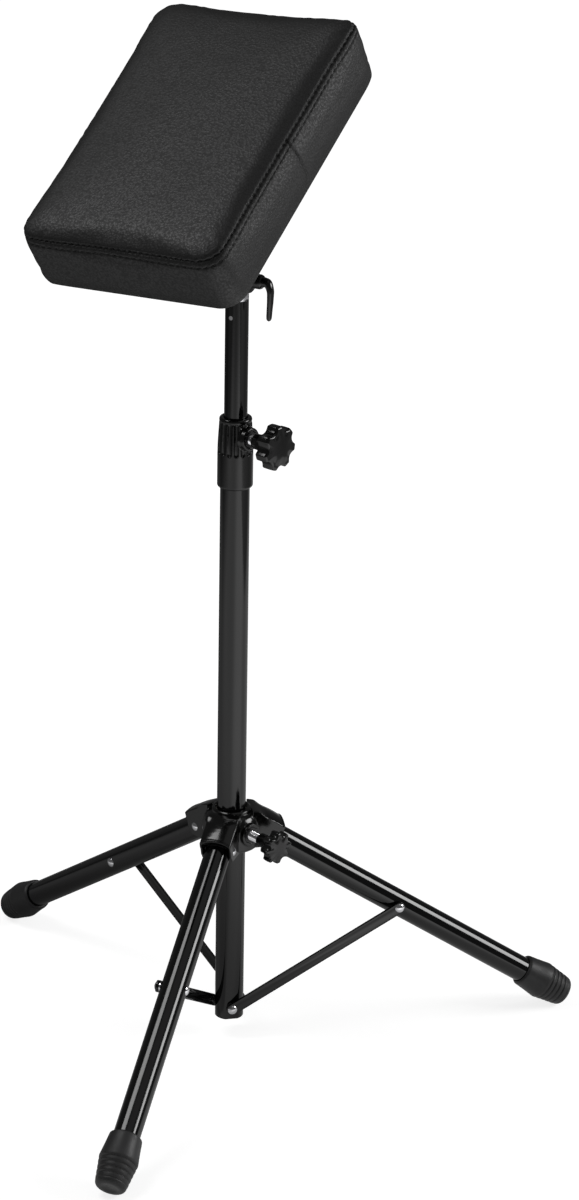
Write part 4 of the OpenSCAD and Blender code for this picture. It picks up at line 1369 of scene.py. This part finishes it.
@dataclass
class Collar:
    """Moulded clamp collar on the column's top: plain skirt, fluted neck, rounded lip and a knob boss."""

    base: float = 574.05
    height: float = 69.0
    skirt: float = 35.0
    radius: float = 16.9
    neck: float = 15.5
    lip: float = 14.7
    lip_height: float = 4.0
    column_bore: float = 14.05
    mast_bore: float = 11.2
    flutes: int = 16
    flute_r: float = 2.6
    boss: float = 11.2
    boss_out: float = 20.0
    knob_height: float = STAR_Z

    def surface(self, z: np.ndarray, angle: np.ndarray) -> np.ndarray:
        """Outer radius.

        Args:
            z: Heights above the collar's base.
            angle: Directions.

        Returns:
            Radii as [height, direction].
        """
        top, neck, lip = self.height, self.neck, self.lip
        shape = (
            (0, self.radius - 2.2), (0.5, self.radius - 1.2), (2.4, self.radius),
            (self.skirt - 0.8, self.radius), (self.skirt, self.radius),
            (top - self.lip_height, neck), (top - 1.8, neck - 0.1), (top - 0.5, lip + 0.1), (top, lip - 0.6),
        )
        keys, radii = zip(*shape)
        plain = steady(keys, radii, z)[:, None] * np.ones(len(angle))[None, :]
        half = math.pi / self.flutes
        off = (angle + half) % (2 * half) - half
        side = np.clip(np.abs(off)[None, :] * plain / (self.flute_r * 0.78), 0, 1)
        hollow = np.sqrt(np.clip(1 - side * side, 0, 1))
        floor = self.skirt + 1.2 - 2.6 * hollow
        roof = self.height - self.lip_height - 0.6 + 0.8 * hollow
        span = ease(z[:, None] - floor, 0, 0.9) * ease(roof - z[:, None], 0, 0.9)
        groove = 0.5 * bell(z, self.height - self.lip_height, 0.5)
        return plain - 1.5 * hollow ** 0.8 * span - groove[:, None]

    def build(self) -> None:
        """Makes the collar in one melted moulding."""
        place = moved(COLUMN_X, COLUMN_Y, self.base) @ turned("Z", STAR_TURN)
        around = self.flutes * 28
        angle = np.arange(around) * 2 * math.pi / around
        steps = ((0, 3, 8), (4, 31, 14), (31.6, 38, 24), (39, 62, 30), (62.5, 69, 26))
        z = np.concatenate([np.linspace(*step) for step in steps])
        outer = about_x(z, self.surface(z, angle), around)
        mast, top = self.mast_bore, self.height
        heights = (top, top - 0.8, self.skirt + 0.2, self.skirt, 0.0)
        inner = about_x(heights, (mast + 0.8, mast, mast, self.column_bore, self.column_bore), around)
        form = Form()
        rows = np.roll(np.concatenate([outer, inner, outer[:1]]), -1, axis=2)
        form.skin(rows, capped=False)
        high = self.knob_height - self.base

        def raise_boss(points: np.ndarray) -> np.ndarray:
            """Lifts the boss to the height of its stud."""
            points[:, :, 2] += high
            return points

        r, out = self.boss, self.boss_out
        boss = [
            (12.3, 4.9), (12.3, r + 0.9), (14, r + 0.6), (15.5, r + 0.1), (out - 1.2, r),
            (out - 0.4, r - 0.35), (out, r - 1.1), (out, 8.4), (out - 1.2, 8.0), (out - 1.2, 5.3),
            (12.6, 5.3),
        ]
        form.lathe(boss, 72, raise_boss)
        piece = form.make("collar_moulding", place, FINISHES[Slot.NYLON])
        moulded(piece, voxel=0.42, rounds=4)
        fit(piece, "column", Slot.NYLON, "clamp_collar")
        LOG.info("collar: %d points", len(piece.data.vertices))


@dataclass
class LobedKnob:
    """Moulded clamp knob: a lobed head on a flaring neck that carries on its valleys."""

    name: str
    body: str
    turn: float
    height: float
    neck_from: float
    neck: float
    flare: float
    head_from: float
    thick: float
    radius: float
    lobes: int
    valley_r: float
    valley_out: float
    first: float = 0.0

    def shape(self, angle: np.ndarray, radius: float) -> np.ndarray:
        """Outline of the head, rounded at the lobes' corners.

        Args:
            angle: Directions.
            radius: Radius of the lobes.

        Returns:
            Radii.
        """
        half = math.pi / self.lobes
        off = (angle - math.radians(self.first) + half) % (2 * half) - half
        cut = self.valley_r ** 2 - (self.valley_out * np.sin(off)) ** 2
        valley = self.valley_out * np.cos(off) - np.sqrt(np.maximum(cut, 0))
        valley = np.where(cut > 0, valley, radius * 1.6)
        soft = 0.9
        return -soft * np.log(np.exp(-np.minimum(valley, radius + 12) / soft) + np.exp(-radius / soft))

    def build(self) -> None:
        """Makes the knob."""
        around = self.lobes * 36
        angle = np.arange(around) * 2 * math.pi / around
        lobed = self.shape(angle, self.radius)
        a, b, t = self.head_from, self.head_from + self.thick, self.thick
        neck_len = a - self.neck_from
        n, f = self.neck / 2, self.flare / 2
        start = self.neck_from
        stations = [
            (start + 0.6, n - 2.4, 0.0), (start, n - 1.6, 0.0), (start, n - 0.5, 0.02),
            (start + 0.5, n, 0.05), (start + neck_len * 0.25, n + 0.1, 0.2),
            (start + neck_len * 0.5, n + (f - n) * 0.2, 0.5),
            (start + neck_len * 0.75, n + (f - n) * 0.5, 0.8), (start + neck_len * 0.92, f * 0.92, 1.0),
            (a - 0.3, f * 1.04, 1.0),
        ]
        rows = []
        for x, r, share in stations:
            mean = lobed / self.radius
            rows.append((x, r * (1 - share + share * (mean / mean.max()) ** 1.2)))
        edge = [
            (a, -4.5), (a + 0.1, -2.2), (a + 0.5, -1.0), (a + 1.3, -0.25), (a + 2.4, 0.0),
            (a + t * 0.5, 0.12), (b - 2.6, 0.0), (b - 1.5, -0.3), (b - 0.6, -1.05), (b - 0.1, -2.2),
            (b + 0.12, -3.6),
        ]
        for x, step in edge:
            rows.append((x, np.maximum(lobed + step, f * 0.8)))
        face = np.maximum(lobed - 3.6, 1)
        for share in (0.93, 0.8, 0.62, 0.42, 0.22, 0.08):
            radius = face * share
            dome = 0.075 * self.radius * (1 - (radius / face.max()) ** 2) * (1 - share ** 6)
            rows.append((b + 0.12 + dome, radius))
        form = Form()
        form.skin(finer(about_x(*zip(*rows), around)))
        piece = form.make(self.name + "_moulding", knob_place(self.turn, self.height), FINISHES[Slot.NYLON])
        fit(piece, self.body, Slot.NYLON, self.name)


@dataclass
class Stud:
    """Threaded clamp stud, cut with a real helix."""

    node: str
    body: str
    turn: float
    height: float
    start: float
    end: float
    radius: float = 5.0
    pitch: float = 1.5

    def build(self) -> None:
        """Makes the stud."""
        around = 36
        x = np.arange(self.start, self.end, self.pitch / 8)
        angle = np.arange(around) * 2 * math.pi / around
        phase = (x[:, None] / self.pitch - angle[None, :] / (2 * math.pi)) % 1.0
        depth = 0.78 * np.clip(np.abs(phase - 0.5) * 2.3 - 0.1, 0, 1)
        ends = ease(x - self.start, 0, 1.2) * ease(self.end - x, 0, 1.2)
        radius = (self.radius - depth) - 0.9 * (1 - ends[:, None])
        form = Form()
        form.skin(about_x(x, radius, around))
        piece = form.make(self.node + "_thread", knob_place(self.turn, self.height), FINISHES[Slot.CHROME])
        fit(piece, self.body, Slot.CHROME, self.node)


@dataclass
class Hub:
    """Sliding hub, melted from the frame's own solid, with crowned arm roofs and a lip on each."""

    voxel: float = 0.55
    rounds: int = 5
    reach: float = 50.0
    lip_z: float = 23.0
    lip_r: float = 1.5
    half: float = 15.5
    crown: float = 4.2

    def build(self) -> None:
        """Makes the hub moulding."""
        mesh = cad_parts["hub_body"].data.copy()
        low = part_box("hub_body")[0][2] / MM
        form = Form()
        for index in range(3):
            turn = math.radians(LEG_TURNS[index])
            ahead = np.array([math.cos(turn), math.sin(turn), 0])
            side = np.array([-math.sin(turn), math.cos(turn), 0])
            start = np.array([COLUMN_X, COLUMN_Y, low + self.lip_z]) + ahead * (self.reach - 0.5)
            stops = (-self.half + 0.2, -self.half + 1, 0, self.half - 1, self.half - 0.2)
            path = [start + side * y for y in stops]
            form.sweep(np.array(path), [(self.lip_r, self.lip_r)] * 5, 16, tuple(ahead))
        lips = form.make("hub_lips", Matrix.Identity(4), FINISHES[Slot.NYLON])
        piece = placed("hub_moulding", mesh)
        mesh.materials.clear()
        mesh.materials.append(SHELF.get(FINISHES[Slot.NYLON]))
        joined = form_joined(piece, lips)
        moulded(joined, self.voxel, self.rounds)
        self.round_roofs(joined.data, low)
        fit(joined, "hub", Slot.NYLON, "hub_body")
        LOG.info("hub: %d points", len(joined.data.vertices))

    def round_roofs(self, mesh: bpy.types.Mesh, low: float) -> None:
        """Crowns each arm's roof across its width.

        Args:
            mesh: Mesh of the hub.
            low: Height of the hub's underside.
        """
        spots = np.zeros(len(mesh.vertices) * 3)
        mesh.vertices.foreach_get("co", spots)
        spots = spots.reshape(-1, 3) / MM
        for index in range(3):
            turn = math.radians(LEG_TURNS[index])
            x = (spots[:, 0] - COLUMN_X) * math.cos(turn) + (spots[:, 1] - COLUMN_Y) * math.sin(turn)
            y = -(spots[:, 0] - COLUMN_X) * math.sin(turn) + (spots[:, 1] - COLUMN_Y) * math.cos(turn)
            share = np.clip(np.abs(y) / self.half, 0, 1.05)
            mask = ease(x, 24, 34) * (np.abs(y) < self.half + 1.5) * ease(spots[:, 2] - low, 12, 19)
            spots[:, 2] -= self.crown * share ** 2.2 * mask
        mesh.vertices.foreach_set("co", (spots * MM).ravel())
        mesh.update()


@dataclass
class TiltLever:
    """Clamp lever of the tilt: a round boss that runs on into a bent, tapering arm."""

    start: float = 15.9
    boss_len: float = 12.0
    boss_r: float = 7.0
    bend: float = 19.0
    drop: float = 36.0

    def build(self) -> None:
        """Makes the lever in one melted moulding."""
        place = moved(COLUMN_X, COLUMN_Y, TILT_Z)
        form = Form()
        a, b, r = self.start, self.start + self.boss_len, self.boss_r
        boss = [
            (a, 4.4), (a, r - 0.8), (a + 0.3, r - 0.2), (a + 1.0, r), (b - 3.0, r), (b - 1.2, r - 0.7),
            (b - 0.3, r - 2.0), (b, r - 4),
        ]
        form.lathe(boss, 72)
        x, low = a + self.bend, -self.drop
        arm = (
            (b - 7, 0, 5.4, 5.2), (b - 2, 0.4, 5.2, 4.9), (b + 3.5, 0.2, 4.9, 4.3), (x - 0.8, -3.2, 4.5, 3.6),
            (x + 0.6, -9, 4.2, 3.1), (x + 0.4, -17, 3.9, 2.8), (x - 0.2, -26, 3.4, 2.6),
            (x - 0.6, low + 3.2, 2.9, 2.5), (x - 0.7, low + 1.0, 2.2, 1.9), (x - 0.7, low, 0.9, 0.8),
        )
        keys = np.array([(along, 0, up) for along, up, _, _ in arm])
        sizes = np.array([size for _, _, *size in arm])
        far = lengths(keys)
        at = np.linspace(0, far[-1], 60)
        path = np.array([steady(far, keys[:, k], at) for k in range(3)]).T
        size = np.array([steady(far, sizes[:, k], at) for k in range(2)]).T
        form.sweep(path, [tuple(s) for s in size], 36, (0, 1, 0))
        piece = form.make("lever_moulding", place, FINISHES[Slot.NYLON])
        moulded(piece, voxel=0.3, rounds=6)
        fit(piece, "lever", Slot.NYLON, "lever_handle")


# Nodes that keep the frame's own shape


class FramePieces:
    """Dresses the CAD nodes that keep their own shape."""

    DRESS: dict[str, Slot] = {name: slot for slot, names in (
        (Slot.PAINT, "column_tube leg_tube brace_bar mast_tube tilt_yoke pad_plate"),
        (Slot.DULL, "column_plug column_washers collar_nut hub_nut leg_knuckle mast_guide"),
        (Slot.CHROME, "column_rivets leg_pins leg_rivet brace_rivet mast_cross_pin tilt_bolt lever_washer"),
        (Slot.BRASS, "collar_shoe hub_shoe"),
        (Slot.BUSH, "hub_bush friction_washers"),
        (Slot.STEEL, "mast_head lever_insert plate_screws tee_nuts"),
        (Slot.PLY, "pad_board"),
    ) for name in names.split()}
    BEVELS: dict[str, float] = {
        "tilt_yoke": 0.5, "pad_plate": 0.5, "brace_bar": 0.4, "mast_head": 0.5, "tilt_bolt": 0.3,
        "leg_knuckle": 0.3, "friction_washers": 0.15,
    }

    def __init__(self) -> None:
        """Makes the shared shading group."""
        self.group = shade_group()

    def build(self) -> None:
        """Gives each such node its finish, shading and broken edges."""
        for name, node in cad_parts.items():
            stem = name.rstrip("_123") if name[-1] in "123" else name
            slot = self.DRESS.get(stem)
            if slot is None:
                continue
            material = SHELF.get(FINISHES[slot])
            if not node.material_slots:
                node.data.materials.append(material)
            for place in node.material_slots:
                place.link = "OBJECT"
                place.material = material
            width = self.BEVELS.get(stem)
            if width:
                weld = node.modifiers.new("weld", "WELD")
                weld.merge_threshold = WELD_GAP
                join = node.modifiers.new("join", "DECIMATE")
                join.decimate_type = "DISSOLVE"
                join.angle_limit = math.radians(1)
                bevel = node.modifiers.new("edges", "BEVEL")
                bevel.limit_method = "ANGLE"
                bevel.angle_limit = math.radians(40)
                bevel.width = width * MM
                bevel.segments = 2
            shade = node.modifiers.new("shade", "NODES")
            shade.node_group = self.group
            LOG.info("dressed %s in %s", name, slot.value)


# Light, floor and camera


@dataclass
class Studio:
    """White floor and world, soft boxes and the photograph's camera.

    The gloss sees the walls as dark, and the floor as a painted pool of light round the stand.
    """

    eye: Point = (1765.8, -2854.6, 1785.58)
    yaw: float = -29.875
    pitch: float = 21.414
    roll: float = 0.982
    lens: float = 114.8745
    walls: float = 0.95
    ceiling: float = 0.16
    dark: float = 0.09
    glow_way: Point = (0.40, 0.02, 0.91)
    bounce: float = 0.5
    shine: tuple[float, float] = (0.8, 0.95)
    front_turn: float = 59.2

    def camera(self) -> None:
        """Makes the camera at the photograph's viewing angle."""
        yaw, pitch, roll = (math.radians(v) for v in (self.yaw, self.pitch, self.roll))
        ahead = Vector((math.sin(yaw) * math.cos(pitch), math.cos(yaw) * math.cos(pitch), -math.sin(pitch)))
        right = Vector((math.cos(yaw), -math.sin(yaw), 0))
        up = right.cross(ahead)
        side = right * math.cos(roll) + up * math.sin(roll)
        top = up * math.cos(roll) - right * math.sin(roll)
        data = bpy.data.cameras.new("photo_camera")
        data.lens = self.lens
        data.sensor_width = 36.0
        data.clip_start, data.clip_end = 0.1, 60.0
        camera = placed("photo_camera", data)
        turn = Matrix((side, top, -ahead)).transposed().to_4x4()
        camera.matrix_world = Matrix.Translation(Vector(self.eye) * MM) @ turn
        bpy.context.scene.camera = camera

    def soft_box(self, name: str, at: Point, aim: Point, size: tuple[float, float], bright: float) -> None:
        """Makes one soft box.

        Args:
            name: Name of the lamp.
            at: Its place, in metres.
            aim: Point that it faces, in metres.
            size: Width and height, in metres.
            bright: Brightness of its face, where 1 is white.
        """
        data = bpy.data.lights.new(name, "AREA")
        data.shape = "RECTANGLE"
        data.size, data.size_y = size
        data.energy = bright * math.pi * size[0] * size[1]
        lamp = placed(name, data)
        lamp.location = at
        lamp.rotation_mode = "QUATERNION"
        lamp.rotation_quaternion = (Vector(aim) - Vector(at)).to_track_quat("-Z", "Y")

    def world(self) -> None:
        """Makes a white room whose ceiling is dim and whose walls look dark in the gloss."""
        world = bpy.data.worlds.new("room")
        bpy.context.scene.world = world
        world.use_nodes = True
        bench = Bench(world.node_tree)
        way = bench.add("TexCoord").outputs["Generated"]
        up = bench.add("SeparateXYZ", {0: way}).outputs[2]
        value = bench.span(up, 0.0, 0.3, self.walls, self.ceiling)
        facing = bench.add("VectorMath", {0: way, 1: self.glow_way}, operation="DOT_PRODUCT")
        gloss = bench.span(facing.outputs["Value"], 0.86, 0.97, self.dark, self.dark + 0.22)
        path = bench.add("LightPath")
        for flag, other in (("Is Glossy Ray", gloss), ("Is Camera Ray", 1.0)):
            value = bench.add("Mix", {0: path.outputs[flag], 2: value, 3: other}).outputs[0]
        back = bench.add("Background", {"Color": (1, 1, 1, 1), "Strength": value})
        bench.add("OutputWorld", {0: back.outputs[0]})

    def floor(self) -> None:
        """Makes the pale floor, which keeps the stand's shadow and shows a painted pool of light in the
        gloss.
        """
        mesh = bpy.data.meshes.new("floor")
        half = 14.0
        square = ((-half, -half, 0), (half, -half, 0), (half, half, 0), (-half, half, 0))
        mesh.from_pydata(square, [], [(0, 1, 2, 3)])
        floor = placed("floor", mesh)
        floor.location.z = -0.0005
        bench = NodeBench("pale_floor")
        bench.set(Base_Color=(self.bounce,) * 3, Roughness=0.9, Specular_IOR_Level=0.0)
        path = bench.add("LightPath")
        far = bench.add("VectorMath", {0: bench.place}, operation="LENGTH").outputs["Value"]
        glow = bench.sum("MULTIPLY", path.outputs["Is Camera Ray"], bench.span(far, 0.5, 2.2, *self.shine))
        shown = bench.add("Emission", {"Strength": glow})
        both = bench.add("AddShader", {0: bench.shader.outputs[0], 1: shown.outputs[0]})
        # Glossy rays see only an emission on the floor: a painted reflection of a floor lit from the front
        # right.
        glossy_painted_light = bench.add("Emission", {"Strength": self.painted_floor_glow(bench, far)})
        feeds = {0: path.outputs["Is Glossy Ray"], 1: both.outputs[0], 2: glossy_painted_light.outputs[0]}
        bench.link(bench.add("MixShader", feeds).outputs[0], bench.out.inputs["Surface"])
        mesh.materials.append(bench.material)
        floor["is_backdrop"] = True

    def painted_floor_glow(self, bench: NodeBench, far: Socket) -> Socket:
        """Brightness of the floor as the gloss shows it: painted light, brightest toward the front right.

        Args:
            bench: The floor's nodes.
            far: Distance from the stand, in metres.

        Returns:
            The brightness.
        """
        feeds = {"Rotation": (0, 0, math.radians(self.front_turn)), "Vector": bench.place}
        turn = bench.add("Mapping", feeds, vector_type="POINT")
        ahead, right = bench.add("SeparateXYZ", {0: turn.outputs[0]}).outputs[:2]
        around = bench.sum("ARCTAN2", right, ahead)
        front = bench.span(ahead, -0.4, 0.6, 0.0, 1.0)
        side = bench.span(right, -0.3, 0.6, 0.0, 1.0)
        back = bench.span(bench.sum("ABSOLUTE", around, 0.0), 1.9, 2.6, 0.3, 0.1)
        level = bench.sum("ADD", bench.sum("MULTIPLY", front, 0.5), bench.sum("MULTIPLY", side, 0.2))
        rise, fall = bench.span(around, 0.0, 0.55, 0.0, 0.42), bench.span(around, 0.95, 1.4, 1.0, 0.3)
        lobe = bench.sum("MULTIPLY", rise, fall)
        level = bench.sum("ADD", bench.sum("ADD", level, back), lobe)
        for value, numbers in (
            (right, (-1.75, -0.95, 0.22, 1.0)), (right, (1.2, 1.34, 1.0, 0.32)),
            (ahead, (1.4, 2.4, 1.0, 0.4)), (far, (0.05, 0.65, 0.55, 1.0)),
        ):
            level = bench.sum("MULTIPLY", level, bench.span(value, *numbers))
        return level

    def build(self) -> None:
        """Makes the whole studio."""
        bpy.context.scene.view_settings.view_transform = "Standard"
        self.camera()
        self.world()
        self.floor()
        self.soft_box("key_box", (-0.85, -0.65, 2.45), (0.1, -0.1, 0.5), size=(0.75, 1.3), bright=5.5)
        self.soft_box("rim_box", (2.09, 1.22, 1.35), (0.08, 0.02, 0.2), size=(1.15, 0.8), bright=9.5)


# All of it, in order


def corners() -> list[list[float]]:
    """Lowest and highest corners of what shows now, as plain numbers."""
    return [[float(v) for v in corner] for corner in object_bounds()]


def main() -> None:
    """Builds the stand's pieces and its studio, in order."""
    logging.basicConfig(level=logging.INFO, format="%(name)s %(relativeCreated)d: %(message)s")
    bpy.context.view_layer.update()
    Studio().build()
    parts: list = [FramePieces(), Pad(), Hub(), Collar(), TiltLever()]
    parts += [FootTip(index) for index in range(3)]
    parts += [
        LobedKnob(
            "collar_knob", "collar_knob", STAR_TURN, STAR_Z, neck_from=25.5, neck=15, flare=26,
            head_from=42.5, thick=14, radius=21.5, lobes=7, valley_r=7.75, valley_out=25.4, first=16.6,
        ),
        LobedKnob(
            "hub_knob", "hub_knob", HUB_KNOB_TURN, HUB_KNOB_Z, neck_from=43, neck=13.4, flare=17,
            head_from=59, thick=11, radius=16.2, lobes=8, valley_r=5.45, valley_out=18.5, first=22.5,
        ),
        Stud("collar_stud", "collar_knob", STAR_TURN, STAR_Z, start=11.5, end=34),
        Stud("hub_stud", "hub_knob", HUB_KNOB_TURN, HUB_KNOB_Z, start=15.9, end=50),
    ]
    for part in parts:
        part.build()
        LOG.info("built %s", type(part).__name__)


if __name__ == "__main__":
    main()
